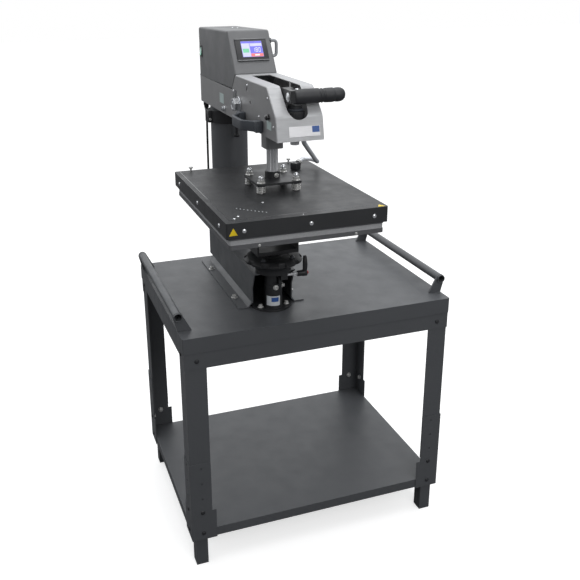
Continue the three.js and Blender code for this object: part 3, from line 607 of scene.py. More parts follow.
def make_plug():
    """The moulded plug with its two pins, lying on the table."""
    def plug_axis(dx, y):
        return on_axis(Vector((PLUG_X + dx * MM, plug_high.y - y * MM, TABLE_HIGH.z + 19 * MM)), (0, -1, 0))

    body = turned("plug_body", [
        (0, 0), (4.4, 0), (4.6, 0.8), (5.2, 12), (5.9, 12.6), (5.9, 14), (5.6, 14.6), (6.3, 22), (7.0, 22.6),
        (7.0, 24), (6.8, 24.6), (7.9, 32), (12.5, 36), (16.2, 40), (18.1, 47), (18.1, 52), (17.2, 55),
        (18.0, 58), (18.0, 63.4), (17.4, 64), (0, 64)], plug_axis(0, 0), 48, "black_plastic", "root",
        replaces=["mains_plug"])
    bm = bmesh.new()
    for dx in (-9.5, 9.5):
        pin = plug_axis(dx, 63.5)
        lathe(bm, [(0, 0), (2.4, 0), (2.4, 17), (1.9, 18.6), (1.0, 19.4), (0, 19.5)], pin, 24)
    pins = piece("plug_pins", bm, "chrome", "root")
    return body, pins


def make_lead(plug_pieces):
    """The mains lead: its drop behind the column, its coil on the table with a tie, and its plug end."""
    route = [at(*p) for p in LEAD_ROUTE]
    coil = coil_points()
    tail = [Vector((PLUG_X - 8.5 * MM, COIL_Y - 9 * MM, TABLE_HIGH.z + 18.4 * MM)),
            Vector((PLUG_X - 5 * MM, COIL_Y - 24 * MM, TABLE_HIGH.z + 19 * MM)),
            Vector((PLUG_X, plug_high.y + 1 * MM, TABLE_HIGH.z + 19 * MM))]
    line = smooth_path(route + coil + tail, 5.0)
    bm = bmesh.new()
    sweep(bm, line, circle(LEAD_R, 12))
    obj = piece("mains_cord", bm, "cord_sheath", None, replaces=["mains_lead", "lead_coil"], smooth=60)
    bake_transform(obj)
    tie = bmesh.new()
    spot = Vector((COIL_X + (COIL_OUT - LEAD_R) * MM, COIL_Y, TABLE_HIGH.z + 10.9 * MM))
    band = [spot + Vector((u * MM, 0, v * MM)) for u, v in rounded_rectangle(15.0, 21.6, 3.0)]
    half, thick = 4.5 * MM, 1 + 1 / 11
    loft(tie, [[tie.verts.new(spot + (p - spot) * grow + Vector((0, dy, 0))) for p in band]
               for dy, grow in ((-half, 1), (-half, thick), (half, thick), (half, 1))], closed=True)
    tie_piece = piece("cord_tie", tie, "black_plastic", "root")


make_conduit()
make_lead(make_plug())


# ---------------- carried-over sheet and plate nodes
def soften(node, look, width=0.8, segments=2):
    """Keeps a CAD node, rounds its edges and paints it."""
    obj = NODES[node]
    bpy.context.view_layer.objects.active = obj
    paint(obj, look)
    with bpy.context.temp_override(object=obj, active_object=obj, selected_objects=[obj], mesh=obj.data):
        bpy.ops.mesh.customdata_custom_splitnormals_clear()
    weld = obj.modifiers.new("weld", "WELD")
    weld.merge_threshold = 0.00002
    obj.data.shade_smooth()
    if width:
        bevel = obj.modifiers.new("bevel", "BEVEL")
        bevel.width = width * MM
        bevel.segments = segments
        bevel.limit_method = "ANGLE"
        bevel.angle_limit = math.radians(35)
        bevel.harden_normals = True
        bevel.use_clamp_overlap = True
    return obj


CORNERS = {"front_left": (-1, -1), "front_right": (1, -1), "rear_left": (-1, 1), "rear_right": (1, 1)}
SOFTENED = {
    "table_paint": [("table_top", 0.9), ("top_frame", 0.4), ("shelf", 0.7), ("table_handle_left", 0.5),
                    ("table_handle_right", 0.5)]
                   + [(f"upper_leg_{c}", 0.6) for c in CORNERS] + [(f"lower_leg_{c}", 0.5) for c in CORNERS],
    "base_paint": [("base_shell", 0.7)],
    "black_paint": [("pedestal", 0.5), ("platen_carrier", 1.0), ("mount_plate", 0.5), ("lever_arm", 0.8)],
    "head_paint": [("head_plate_left", 0.5), ("head_plate_right", 0.5), ("ram_guide", 1.0)],
    "heater_paint": [("heater_cover", 0.9)],
    "steel": [("clamp_stud", 0.3), ("swing_hub", 0.5), ("pressure_beam", 0.6)],
    "aluminium": [("lower_platen", 0.8), ("heater_plate", 0.8)],
    "silicone": [("silicone_pad", 1.2)],
    "black_plastic": [("switch_frame", 0.6)],
    "green_plastic": [("power_rocker", 0.8)],
    "bronze": [("column_bush", 0.4)],
}
for finish_name, members in SOFTENED.items():
    for node_name, edge in members:
        soften(node_name, finish_name, edge)

# ---------------- table fasteners
def table_bolts():
    """Coach bolts through each corner of the aprons, the side rails and the lower legs."""
    heads, nuts = bmesh.new(), bmesh.new()
    top = TABLE_HIGH.z / MM
    for sx, sy in CORNERS.values():
        front, side = (0, sy, 0), (sx, 0, 0)
        spots = [((sx * 363, sy * 298.4, top - 70), front), ((sx * 397.9, sy * 262, top - 58), side)]
        for z in (187, 117):
            spots += [((sx * 364.4, sy * 298.95, z), front), ((sx * 398.45, sy * 265, z), side)]
        for spot, axis in spots:
            dome_bolt(heads, on_axis(table_at(*spot), axis), 6.5)
        inside = [((sx * 364.4, sy * 296.9, 187), (0, -sy, 0)), ((sx * 396.4, sy * 265, 187), (-sx, 0, 0))]
        for spot, axis in inside:
            place = on_axis(table_at(*spot), axis)
            lathe(nuts, rounded(8.5, 0.1, 1.6, 0.3), place, 24)
            hexagon(nuts, place, 13, 1.6, 7.5)
    piece("table_bolts", heads, "black_plastic", "root")
    piece("table_nuts", nuts, "zinc", "root")


def handle_screws():
    """Countersunk screws that hold each handle's end plates to the top."""
    bm = bmesh.new()
    low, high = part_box("table_handle_right")
    for side in (-1, 1):
        for y in (low.y + 15 * MM, high.y - 5 * MM):
            for dx in (-20, -8):
                x = TABLE.x + side * (TABLE_HIGH.x - TABLE.x + dx * MM)
                pan_screw(bm, on_axis(Vector((x, y, TABLE_HIGH.z + 0.3 * MM)), (0, 0, 1)), 3.2)
    piece("handle_screws", bm, "zinc", "root")


# ---------------- base, column and receiver
def washer_and_cap(bm, point, axis, radius):
    place = on_axis(point, axis)
    lathe(bm, rounded(radius * 1.5, 0.1, 1.7, 0.4), place, 28)
    cap_screw(bm, moved(place, 0, 0, 1.7), radius)


def base_fasteners():
    """Cap screws and washers that hold the base down and the socket together."""
    bm = bmesh.new()
    for side in (-1, 1):
        for x, y in ((87, 98), (88, 347)):
            washer_and_cap(bm, at(side * x, y, 3.3), (0, 0, 1), 6.2)
        washer_and_cap(bm, at(side * 39, 0, 5.3), (0, 0, 1), 5.6)
    for angle, z in ((-93, 69), (-28, 69)):
        a = math.radians(angle)
        out = Vector((math.cos(a), math.sin(a), 0))
        washer_and_cap(bm, at(24.4 * out.x, 24.4 * out.y, z), out, 5.2)
    piece("base_fasteners", bm, "zinc", "root")


def socket_collar():
    """The machined ring round the top of the split socket."""
    bm = bmesh.new()
    arc = [math.radians(a) for a in range(-60, 241, 6)]
    profile = ((25.1, 70), (26.6, 70.8), (26.6, 75.2), (25.1, 76))
    for a, b in zip(arc, arc[1:]):
        spots = [at(r * math.cos(turn), r * math.sin(turn), z) for turn in (a, b) for r, z in profile]
        ring = [bm.verts.new(spot) for spot in spots]
        for k in range(3):
            bm.faces.new((ring[k], ring[k + 1], ring[k + 5], ring[k + 4]))
    bmesh.ops.remove_doubles(bm, verts=bm.verts, dist=1e-6)
    piece("socket_collar", bm, "black_paint", "root")


def receiver():
    """The cast disc with ten notches cut in its rim, over a narrower hub, and four bolts."""
    hub, notch_r, notches = 64, 74.5, 10

    def notch(angle, r, z):
        inside = abs((angle / TAU * notches) % 1 - 0.5) < 0.17
        return min(r, notch_r) if inside and r >= hub else r

    turned("receiver", [
        (15.6, 112.4), (48, 112.4), (50, 113.2), (51, 124), (54, 130), (60, 135), (66, 139), (78, 144),
        (80.6, 146), (81.4, 148), (81.4, 150.6), (79.6, 153), (73, 158), (70.6, 158.9), (44, 159),
        (42, 156.8), (26, 156.8), (24, 159), (15.6, 159), (15.6, 112.4)], upright(0, 0), 240, "cast_black",
        "root", ["receiver_casting"], wave=notch)
    bm = bmesh.new()
    for k in range(4):
        a = math.pi / 4 + k * math.pi / 2
        place = on_axis(at(58 * math.cos(a), 58 * math.sin(a), 158.9), (0, 0, 1))
        lathe(bm, rounded(8.4, 0, 1.5, 0.3), place, 24)
        cap_screw(bm, moved(place, 0, 0, 1.5), 5.6, 5)
    piece("receiver_bolts", bm, "dark_zinc", "root")


def column():
    """The round column and its split stop collar."""
    axis = upright(0, 407)
    turned("column", [(52, 5.6), (56.4, 5.6), (57, 6.2), (57, 561.2), (56.2, 562), (52, 562), (52, 5.6)],
           axis, 96, "column_paint", "root", ["column_tube"])
    bm = bmesh.new()
    lathe(bm, [(57.7, 468), (63.2, 468), (64, 468.8), (64, 505.2), (63.2, 506), (57.7, 506), (57.7, 468)],
          axis, 96)
    for y in (387, 409):
        block(bm, (-71, y, 468.4), (-60, y + 18, 505.6), 1.2)
    piece("collar", bm, "black_paint", "root", ["stop_collar"])
    bm = bmesh.new()
    cap_screw(bm, on_axis(at(-66, 387, 479), (0, -1, 0)), 4.0, 3)
    piece("collar_screws", bm, "zinc", "root")


def socket_lever():
    """The indexing clamp lever with its red release button."""
    y, z = -22, 102
    hub = on_axis(at(0, y, z), (1, 0, 0))
    bm = bmesh.new()
    lathe(bm, [(4.6, 64.3), (7.8, 64.3), (8.5, 65.4), (8.7, 77), (9.9, 80), (10, 90.6), (8.8, 92), (5.6, 92),
               (5.6, 81.2), (4.6, 81.2), (4.6, 64.3)], hub, 40)
    line = smooth_path([at(86.5, y - 1, z + 5), at(86.6, y - 2.2, z + 14), at(86.6, y - 2.4, z + 24),
                        at(86.8, y - 1.4, z + 34), at(87, y + 0.4, z + 43), at(87.2, y + 1.4, z + 50.8)], 3)
    last = len(line) - 1

    def taper(i):
        swell = 0.74 + 0.42 * math.sin(math.pi * min(1, 0.2 + 0.75 * i / last))
        return swell * 0.72 if i == last else swell

    sweep(bm, line, [(4.9 * u, 6.1 * v) for u, v in circle(1, 16)], taper)
    piece("socket_lever_handle", bm, "black_plastic", "socket_lever", replaces=["clamp_lever"], smooth=50)
    turned("socket_lever_button", [(0, 85.3), (5, 85.3), (5, 95), (4.2, 96.5), (2.4, 97), (0, 97)], hub, 32,
           "red_plastic", "socket_button", replaces=["clamp_button"])


# ---------------- heater, springs and ram
STUD_X, STUD_Y = 49, 50  # the four studs stand this far from the ram
SCREW_Z = 330.6          # the screws in the cover's rim


def cover_details():
    """The heater cover's screws, guard studs, folded seam (a gloss black strip whose dark colour is painted
    shade), scale ticks and warning triangles.
    """
    screws = bmesh.new()
    front = (cover_low.y - PRESS.y) / MM
    for x in (-166, 3.5, 171.5):
        dome_bolt(screws, on_axis(at(x, front, SCREW_Z), (0, -1, 0)), 5.4)
    for sx in (-1, 1):
        for y in (-210, 0, 210):
            dome_bolt(screws, on_axis(at(sx * 209.5, y, SCREW_Z), (sx, 0, 0)), 5.4)
    for x in (-166, 0, 166):
        dome_bolt(screws, on_axis(at(x, -front, SCREW_Z), (0, 1, 0)), 5.4)
    for x, y, r in ((-179.7, -239.5, 3.4), (-165.8, -224.2, 3.4), (-72, -130, 3.4), (-14, -262, 1.6)):
        pan_screw(screws, on_axis(at(x, y, 352.5), (0, 0, 1)), r)
    piece("cover_screws", screws, "chrome", "heater")

    studs = bmesh.new()
    for x, y in ((-163, 260), (143, 260)):
        lathe(studs, [(0, 352.6), (2.6, 352.6), (2.6, 361), (5.6, 361.6), (6.2, 362.6), (6.2, 365),
                      (5.2, 366.2), (0, 366.4)], upright(x, y), 28)
    piece("guard_studs", studs, "zinc", "heater")

    # The folded seam is a thin raised strip. Its gloss black colour is painted shade that stands in for the
    # dark line of the fold.
    seam = bmesh.new()
    block(seam, (-196, -249, 352.3), (-194.4, 262, 352.75), 0.15, 1)
    block(seam, (-196, -250.2, 352.3), (180, -248.6, 352.75), 0.15, 1)
    piece("cover_seam", seam, "gloss_black", "heater")

    marks = bmesh.new()
    first, last = Vector((-149.8, -158.9, 352.6)), Vector((-91.4, -215, 352.6))
    for i in range(9):
        spot = first.lerp(last, i / 8)
        block(marks, (spot.x - 0.9, spot.y - 2.6, 352.45), (spot.x + 0.9, spot.y + 2.6, 352.7), 0)
    piece("cover_scale", marks, "white_label", "heater")

    label = bmesh.new()
    half = 10.4
    spot = at(-192.8, front - 0.25, 322)
    corners = [(-half, 0), (half, 0), (0, 1.78 * half)]
    loft(label, [[label.verts.new(spot + Vector((u, dy, v)) * MM) for u, v in corners] for dy in (0, 0.25)])
    corners = [(183, -268), (203, -268), (193, -251)]
    loft(label, [[label.verts.new(at(x, y, z)) for x, y in corners] for z in (352.5, 352.8)])
    piece("yellow_marks", label, "yellow_label", "heater")


def platen_screws():
    """Two low screws in each end of the lower platen."""
    bm = bmesh.new()
    low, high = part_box("lower_platen")
    for side in (-1, 1):
        for x in (-127, 126):
            y = low.y if side < 0 else high.y
            place = on_axis(Vector((PRESS.x + x * MM, y, PRESS.z + 288.8 * MM)), (0, side, 0))
            lathe(bm, [(0, 0.05), (3.4, 0.05), (3.4, 0.9), (2.7, 1.4), (0, 1.4)], place, 20)
    piece("platen_screws", bm, "zinc", "platen")


def heater_springs():
    """Four coil springs between the cover and the mount plate."""
    z0, z1, wire_r, mean = 353.0, 374.6, 1.45, 11.0
    turns = 4.3
    total = int(turns * 22)
    for name, (sx, sy) in CORNERS.items():
        bm = bmesh.new()
        line = []
        for i in range(total + 1):
            a = TAU * turns * i / total
            rise = z0 + wire_r + (z1 - z0 - 2 * wire_r) * i / total
            line.append(at(STUD_X * sx + mean * math.cos(a), STUD_Y * sy + mean * math.sin(a), rise))
        sweep(bm, line, circle(wire_r, 8))
        obj = piece(f"coil_{name}", bm, "zinc", "ram", [f"spring_{name}"], 60)
        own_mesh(obj)


def heater_studs():
    """Stud, flange nut and chrome dome nut at each corner of the mount plate, over a spring seat."""
    low_z, seat = 325.8, 381.3
    nut, cap = seat + 9.4, seat + 13.4
    seats = bmesh.new()
    for name, (sx, sy) in CORNERS.items():
        place = upright(STUD_X * sx, STUD_Y * sy)
        bm = bmesh.new()
        lathe(bm, [(0, low_z), (5, low_z), (5, seat), (10.6, seat), (11, seat + 0.8), (9.4, seat + 2.6),
                   (5, seat + 2.8), (5, seat + 3), (0, seat + 3)], place, 32)
        hexagon(bm, place, 15.6, seat + 2.6, nut)
        piece(f"stud_nut_{name}", bm, "zinc", "heater")
        profile = [(0, nut), (5.6, nut), (5.6, seat + 11), (6.9, seat + 12.4)] + dome(6.9, cap, 6.9)
        turned(f"dome_stud_{name}", profile + [(0, seat + 20.3)], place, 32, "chrome", "heater",
               [f"stud_{name}"])
        lathe(seats, [(5.8, 374.9), (12.6, 374.9), (12.6, 373.7), (5.8, 373.7), (5.8, 374.9)], place, 32)
    piece("spring_seats", seats, "black_plastic", "ram")


def ram():
    """The fluted ram: round up to the head, then a flat with the beam's pin."""
    axis = upright(0, 0)
    flutes = 12

    def fluted(angle, r, z):
        if z < 403 or z > 522 or r < 10:
            return r
        wave = 0.5 + 0.5 * math.cos(angle * flutes)
        return r - 1.9 * wave ** 2

    bm = bmesh.new()
    lathe(bm, [(0, 381.3), (15.2, 381.3), (15.2, 402.8), (15.4, 403.2), (15.4, 521.8), (15.4, 522.2),
               (15.4, 531), (0, 531)], axis, 128, fluted)
    flat = math.acos(3.3 / 15.4)
    arc = [flat + (TAU - 2 * flat) * k / 24 for k in range(25)]
    outline = [(15.4 * math.cos(a), 15.4 * math.sin(a)) for a in arc]
    loft(bm, [[bm.verts.new(at(u, v, z)) for u, v in outline] for z in (531, 563)], foot=False)
    lathe(bm, [(0, 0), (5, 0), (5, 17.4), (4.4, 18), (0, 18)], on_axis(at(0, 0, 552), (1, 0, 0)), 24)
    piece("ram", bm, "steel", "ram", ["ram_shaft"])
    bm = bmesh.new()
    washer_and_cap(bm, at(4, -20.1, 390.5), (0.25, -1, 0), 4.6)
    washer_and_cap(bm, at(-4, 20.1, 390.5), (-0.25, 1, 0), 4.6)
    piece("mount_screws", bm, "zinc", "ram")


def connector():
    """The cable box on the heater cover, with its hose fitting."""
    local = Matrix.Translation(at(135, 172, 352.8)) @ Matrix.Rotation(math.radians(36.5), 4, "Z")
    bm = bmesh.new()
    cube(bm, (25, 22, 21), moved(local, -4, 0, 10.6), 2.2)
    for z in (5, 10.6, 16):
        cube(bm, (19, 23.2, 1.6), moved(local, -4, 0, z))
    piece("connector_box", bm, "black_paint", "heater", ["heater_connector"])
    bm = bmesh.new()
    gland = moved(local, 4, 0, 15.5) @ Matrix.Rotation(math.radians(74), 4, "Y")
    hexagon(bm, gland, 16.6, 4.6, 9.6)
    lathe(bm, [(6.6, 9.6), (8.8, 9.6), (9.2, 10.2), (9.2, 12.6), (8.2, 14.1), (6.6, 14.1), (6.6, 9.6)],
          gland, 36)
    for y in (-7, 7):
        cap_screw(bm, moved(local, -12, y, 21), 2.4, 1.1)
    piece("connector_fitting", bm, "zinc", "heater")


# ---------------- head
HALF = 61                # half the head's width
PANEL_LOW = Vector((126, 641))
PANEL_HIGH = Vector((198, 752.5))
PANEL_UP = Vector((0, *(PANEL_HIGH - PANEL_LOW).normalized()))
PANEL_OUT = Vector((0, -PANEL_UP.z, PANEL_UP.y))
DISPLAY = at(0, *PANEL_LOW.lerp(PANEL_HIGH, 0.543))


def panel_block(bm, *spans, radius=0.0):
    """A box on the control panel, from (low, high) spans right, up and out from the display's centre."""
    slab(bm, DISPLAY, PANEL_UP, PANEL_OUT, spans, radius)


def directions(outline):
    """The way an outline runs at each of its points."""
    last = len(outline) - 1
    return [(outline[min(i + 1, last)] - outline[max(i - 1, 0)]).normalized() for i in range(last + 1)]


def face_up(bm):
    """Gives a surface one side, so that its highest face looks up."""
    bmesh.ops.recalc_face_normals(bm, faces=bm.faces)
    if max(bm.faces, key=lambda f: f.calc_center_median().z).normal.z < 0:
        bmesh.ops.reverse_faces(bm, faces=bm.faces)


def fillet(points, radii, steps=5):
    """An open (y, z) outline with each inner corner rounded to its radius."""
    points = [Vector(p) for p in points]
    out = [points[0]]
    for before, corner, after, radius in zip(points, points[1:], points[2:], radii):
        to_a, to_b = (before - corner).normalized(), (after - corner).normalized()
        half = to_a.angle(to_b) / 2
        reach = radius / math.tan(half)
        centre = corner + (to_a + to_b).normalized() * (radius / math.sin(half))
        first, last = corner + to_a * reach - centre, corner + to_b * reach - centre
        bend = first.angle_signed(last)
        for k in range(steps + 1):
            out.append(centre + Matrix.Rotation(-bend * k / steps, 2) @ first)
    return out + [points[-1]]


def head_cover():
    """The folded front cover: large bends, rolled side edges, a slot that ends in a round notch."""
    bends = [(120, 642), (-134, 642), (-198.5, 578), (-210.5, 519)]
    notch, notch_z, slot_end, edge = 26.5, 595, 92, 3.0
    raw = fillet(bends, (16, 16), 7)
    path = []
    for a, b in zip(raw, raw[1:]):
        path.append(a)
        for y in (slot_end, slot_end - 2):
            if min(a.x, b.x) < y < max(a.x, b.x) and abs(a.y - 642) < 0.1:
                path.append(Vector((y, 642)))
    path.append(raw[-1])
    levels = [notch_z - notch * math.sin(math.pi / 2 * k / 9) for k in range(10)]
    fine = [path[0]]
    for a, b in zip(path, path[1:]):
        for z in levels:
            if b.y < z - 0.05 and a.y > z + 0.05:
                fine.append(a.lerp(b, (a.y - z) / (a.y - b.y)))
        fine.append(b)
    bm = bmesh.new()
    rim = [(HALF - edge + dx, drop) for dx, drop in rolled_edge(edge)]
    rows = []
    for p, d in zip(fine, directions(fine)):
        inward = Vector((-d.y, d.x))
        whole = p.x > slot_end - 0.5
        gap = 0.0
        if whole or p.y >= notch_z:
            gap = notch
        elif p.y > notch_z - notch + 0.01:
            gap = math.sqrt(notch ** 2 - (notch_z - p.y) ** 2)
        line = [(gap, 0.0)] + rim
        rows.append((whole, [[bm.verts.new(at(sign * x, *(p + inward * drop))) for x, drop in line]
                             for sign in (-1, 1)]))
    for (whole_a, row_a), (whole_b, row_b) in zip(rows, rows[1:]):
        for sign, (a, b) in enumerate(zip(row_a, row_b)):
            for k in range(len(a) - 1):
                face = (a[k], a[k + 1], b[k + 1], b[k])
                bm.faces.new(face if sign else face[::-1])
        if whole_a and whole_b:
            bm.faces.new((row_a[0][0], row_a[1][0], row_b[1][0], row_b[0][0]))
    bmesh.ops.remove_doubles(bm, verts=bm.verts, dist=2e-5)
    face_up(bm)
    obj = new_object("front_cover", bm, 40)
    sheet(obj, 1.9)
    dress(obj, "silver_paint", "head", replaces=["head_cover"])


def housing_surface():
    """The folded control housing with soft bends, open underneath, and its rear skirt."""
    rear, roof_rear, seam, edge = 511.5, 746, 599, 5.0
    outline = fillet([(160, seam), PANEL_LOW, PANEL_HIGH, (rear, roof_rear), (rear, 519)], (7.5, 8, 8), 5)
    bm = bmesh.new()
    rim = [(HALF - edge + dx, drop) for dx, drop in rolled_edge(edge, 4)]
    line = [(-x, drop) for x, drop in reversed(rim)] + rim
    rows = []
    for p, d in zip(outline, directions(outline)):
        inward = Vector((d.y, -d.x))
        rows.append([bm.verts.new(at(x, *(p + inward * drop))) for x, drop in line])
    for a, b in zip(rows, rows[1:]):
        for k in range(len(a) - 1):
            bm.faces.new((a[k], a[k + 1], b[k + 1], b[k]))
    foot = len(rows) - 1
    for end, x in ((0, -HALF), (-1, HALF)):
        corner = bm.verts.new(at(x, rear - edge, seam))
        bm.faces.new([row[end] for row in rows[:foot]] + [corner])
        bm.faces.new((rows[foot - 1][end], rows[foot][end], corner))
    face_up(bm)
    return bm


def make_housing():
    """The housing with its side tabs, rear flange and screws."""
    obj = new_object("housing", housing_surface(), 40)
    sheet(obj, 1.4)
    dress(obj, "housing_paint", "head", replaces=["control_housing"])
    bm = bmesh.new()
    for x in (-62.4, 61.1):
        block(bm, (x, 118, 571), (x + 1.3, 147, 602), 0.5, 2)
    block(bm, (-57.5, 471, 519), (57.5, 510, 520.5), 0.4, 2)
    piece("housing_tabs", bm, "housing_paint", "head")
    bm = bmesh.new()
    for side in (-1, 1):
        for y, z, r in ((139, 597, 3.8), (504, 603, 3.4)):
            pan_screw(bm, on_axis(at(side * (62.3 if y < 200 else 61), y, z), (side, 0, 0)), r)
    for x, y in ((11, 381), (17, 351)):
        pan_screw(bm, on_axis(at(x, y, 752.5 - (y - 198) * 6.5 / 313.5), (0, 0.02, 1)), 2.8)
    piece("housing_screws", bm, "chrome", "head")


def display():
    """The display's bezel and strips, its lit fields, and the digits drawn on it."""
    bm = bmesh.new()
    panel_block(bm, (-45.3, 45.3), (-33, 33), (0.3, 3.6), radius=0.8)
    piece("display_bezel", bm, "black_plastic", "head", replaces=["display_module"])
    bm = bmesh.new()
    panel_block(bm, (-45.2, 45.2), (30.6, 33.2), (3.2, 4.7), radius=0.4)
    panel_block(bm, (-45.2, 45.2), (-33.2, -30.6), (3.2, 4.7), radius=0.4)
    piece("display_strips", bm, "aluminium", "head")
    tiles = {
        "screen_violet": [(-29, 31, -22, 25)],
        "screen_blue": [(-28.4, 30.4, 19.4, 24.4), (-4.6, 30.2, -11, 9)],
        "screen_pale": [(-28, -6, -21, 18.6), (-3.6, 29.6, 10.2, 18)],
        "screen_green": [(-26.4, -8.4, -9, 3)],
        "screen_red": [(-4.6, 30.2, -21.2, -12.2)],
    }
    for layer, (look, spots) in enumerate(tiles.items()):
        bm = bmesh.new()
        for u0, u1, v0, v1 in spots:
            panel_block(bm, (u0, u1), (v0, v1), (3.3, 3.75 + 0.05 * layer))
        piece(look, bm, look, "head")
    digits = {"1": "bc", "8": "abcdefg", "0": "abcdef"}
    strokes = {"a": (0, 4, 8, 9), "b": (3.2, 4, 4.5, 8.6), "c": (3.2, 4, 0, 4.1), "d": (0, 4, -0.4, 0.6),
               "e": (0, 0.8, 0, 4.1), "f": (0, 0.8, 4.5, 8.6), "g": (0.4, 3.6, 3.8, 4.8)}
    raised = (3.4, 4.06)
    low, grow = -7.2, 1.4
    bm = bmesh.new()
    for place, digit in enumerate("180"):
        left = 2.6 + place * 8.2
        for stroke in digits[digit]:
            u0, u1, v0, v1 = [value * grow for value in strokes[stroke]]
            panel_block(bm, (left + u0, left + u1), (low + v0, low + v1), raised)
    panel_block(bm, (6, 20), (-18.8, -14.6), raised)
    piece("screen_digits", bm, "screen_white", "head")


def side_details():
    """What is screwed, stuck or let into the head's left plate."""
    x = -HALF
    bm = bmesh.new()
    for y, z, r in ((-75, 560, 3.0), (-143.5, 614.7, 3.0), (-185, 552, 3.0), (18.5, 626.5, 4.0)):
        pan_screw(bm, on_axis(at(x, y, z), (-1, 0, 0)), r)
        pan_screw(bm, on_axis(at(-x, y, z), (1, 0, 0)), r)
    place = on_axis(at(x, 238, 533.5), (-1, 0, 0))
    lathe(bm, rounded(9, 0, 1.8, 0.4), place, 32)
    cap_screw(bm, moved(place, 0, 0, 1.8), 6.8, 7)
    piece("side_screws", bm, "chrome", "head")
    place = on_axis(at(x + 0.4, -152.5, 571), (-1, 0, 0))
    turned("stop_knob", [(0, 0), (5, 0), (5, 2), (7.4, 3.4)] + dome(7.4, 5.5, 6) + [(0, 11.5)], place, 32,
           "gloss_black", "head")
    bm = bmesh.new()
    block(bm, (x - 0.4, 244, 546), (x - 0.02, 287, 574), 0.1, 1)
    block(bm, (x - 0.4, -170, 541), (x - 0.02, -136, 561), 0.1, 1)
    piece("pale_labels", bm, "pale_label", "head")


def front_plate_label():
    """A blank type plate with a blue field on the front of the cover."""
    up = Vector((0, 210.5 - 198.5, 578 - 519)).normalized()
    out = Vector((0, -up.z, up.y))
    middle = at(10.8, -206.1, 541.7)
    for name, look, spans in (("type_plate", "plate_silver", ((-39.8, 39.8), (-12.4, 12.4), (-0.2, 0.6))),
                              ("type_plate_field", "blue_label", ((19.5, 38.4), (-3.4, 11.4), (0.5, 0.75)))):
        bm = bmesh.new()
        slab(bm, middle, up, out, spans)
        piece(name, bm, look, "head")


def pivot():
    """The head's cross pin with its hexagon end, washer and far nut."""
    axis = on_axis(at(0, 95, 567), (-1, 0, 0))
    bm = bmesh.new()
    lathe(bm, [(0, -63), (10, -63), (10, 61), (0, 61)], axis, 40)
    lathe(bm, rounded(21.5, 61.3, 63.2, 0.6), axis, 48)
    corner = 34 / math.sqrt(3)
    lathe(bm, [(0, 63.2), (corner - 1.6, 63.2), (corner, 64.6), (corner, 76.4), (17.0, 79.6), (13.2, 80),
               (12, 78.2), (0, 78.2)], axis, 6, phase=math.radians(12))
    lathe(bm, [(0, 78), (8.6, 78), (8.6, 79.2), (7.6, 79.9), (0, 79.9)], axis, 32)
    lathe(bm, [(0, -61.3), (15.4, -61.3), (16, -61.9), (16, -66.4), (15, -67.6), (0, -68)], axis, 40)
    piece("pivot", bm, "chrome", "head", ["pivot_pin"], 30)


def swing_bow():
    """The bow handle that swings the head, with its two mounting blocks."""
    x, front, rear = -61.3, -99, 46
    grip_x = x - 41.5
    half = [(x - 15, 0), (x - 29, 20), (x - 40, 33), (grip_x, 50)]
    points = [(px, rear - dy) for px, dy in half] + [(px, front + dy) for px, dy in reversed(half)]
    line = smooth_path([at(px, py, 540.5) for px, py in points], 5)
    bm = bmesh.new()
    sweep(bm, line, rounded_rectangle(8.4, 26.5, 2.4))
    for y in (front, rear):
        block(bm, (x - 20, y - 11, 526), (x, y + 11, 555), 2.0)
    piece("swing_bow", bm, "slate_plastic", "head", ["swing_handle"], 50)
    bm = bmesh.new()
    for y in (front, rear):
        cap_screw(bm, on_axis(at(x - 18.9, y, 540.5), (-1, 0, 0)), 4.6, 1.4)
    piece("bow_screws", bm, "dark_zinc", "head")


def side_bow():
    """The small bow handle on the housing's right side."""
    x, y, low, high = 61.2, 186, 682, 724
    half = [(0, 0), (10, 0), (15.6, 2), (18.2, 8)]
    points = [(dx, low + dz) for dx, dz in half] + [(18.4, (low + high) / 2)]
    points += [(dx, high - dz) for dx, dz in reversed(half)]
    line = smooth_path([at(x + dx, y, z) for dx, z in points], 2.5)
    bm = bmesh.new()
    sweep(bm, line, circle(4.4, 20))
    for z in (low, high):
        lathe(bm, rounded(7.2, 0, 2.4, 0.8), on_axis(at(x - 0.2, y, z), (1, 0, 0)), 32)
    piece("housing_bow", bm, "bow_grey", "head", ["housing_handle"], 50)


def glands():
    """The ribbed relief of the mains lead and the conduit's gland, both under the head."""
    ribs = []
    for k in range(5):
        z = 488.5 + 3.6 * k
        r = 5.0 + 0.75 * k
        ribs += [(r, z), (r, z + 1.8), (r - 0.9, z + 2.0), (r - 0.7, z + 3.4)]
    turned("cord_relief", [(0, 487), (4.6, 487)] + ribs + [(9, 508), (9, 518.7), (6, 518.7), (6, 531.6),
                                                          (5.6, 532), (0, 532)], upright(-50, 488), 40,
           "black_plastic", "head", ["lead_gland"], 50)
    bm = bmesh.new()
    out = (at(*CONDUIT_ROUTE[1]) - at(*CONDUIT_ROUTE[0])).normalized()
    place = on_axis(at(*CONDUIT_ROUTE[0]), -out)
    lathe(bm, [(7.2, -9), (9.6, -9), (10.4, -8), (10.4, 0), (7.2, 0), (7.2, -9)], place, 36)
    hexagon(bm, place, 22, 0, 5)
    piece("conduit_gland", bm, "zinc", "head")


def lock_pin():
    """The sprung pin that keeps the head over the platen, with its pull knob."""
    turned("lock_pin", [
        (0, 431), (6.4, 431), (8.4, 432.2), (9, 434), (9, 436.5), (8, 440), (6.2, 444), (4, 446), (4, 530),
        (8, 530.4), (8, 536), (4, 536.4), (4, 583), (3, 584), (0, 584)], upright(0, 326), 40, "black_plastic",
        "lock", ["swing_lock"])


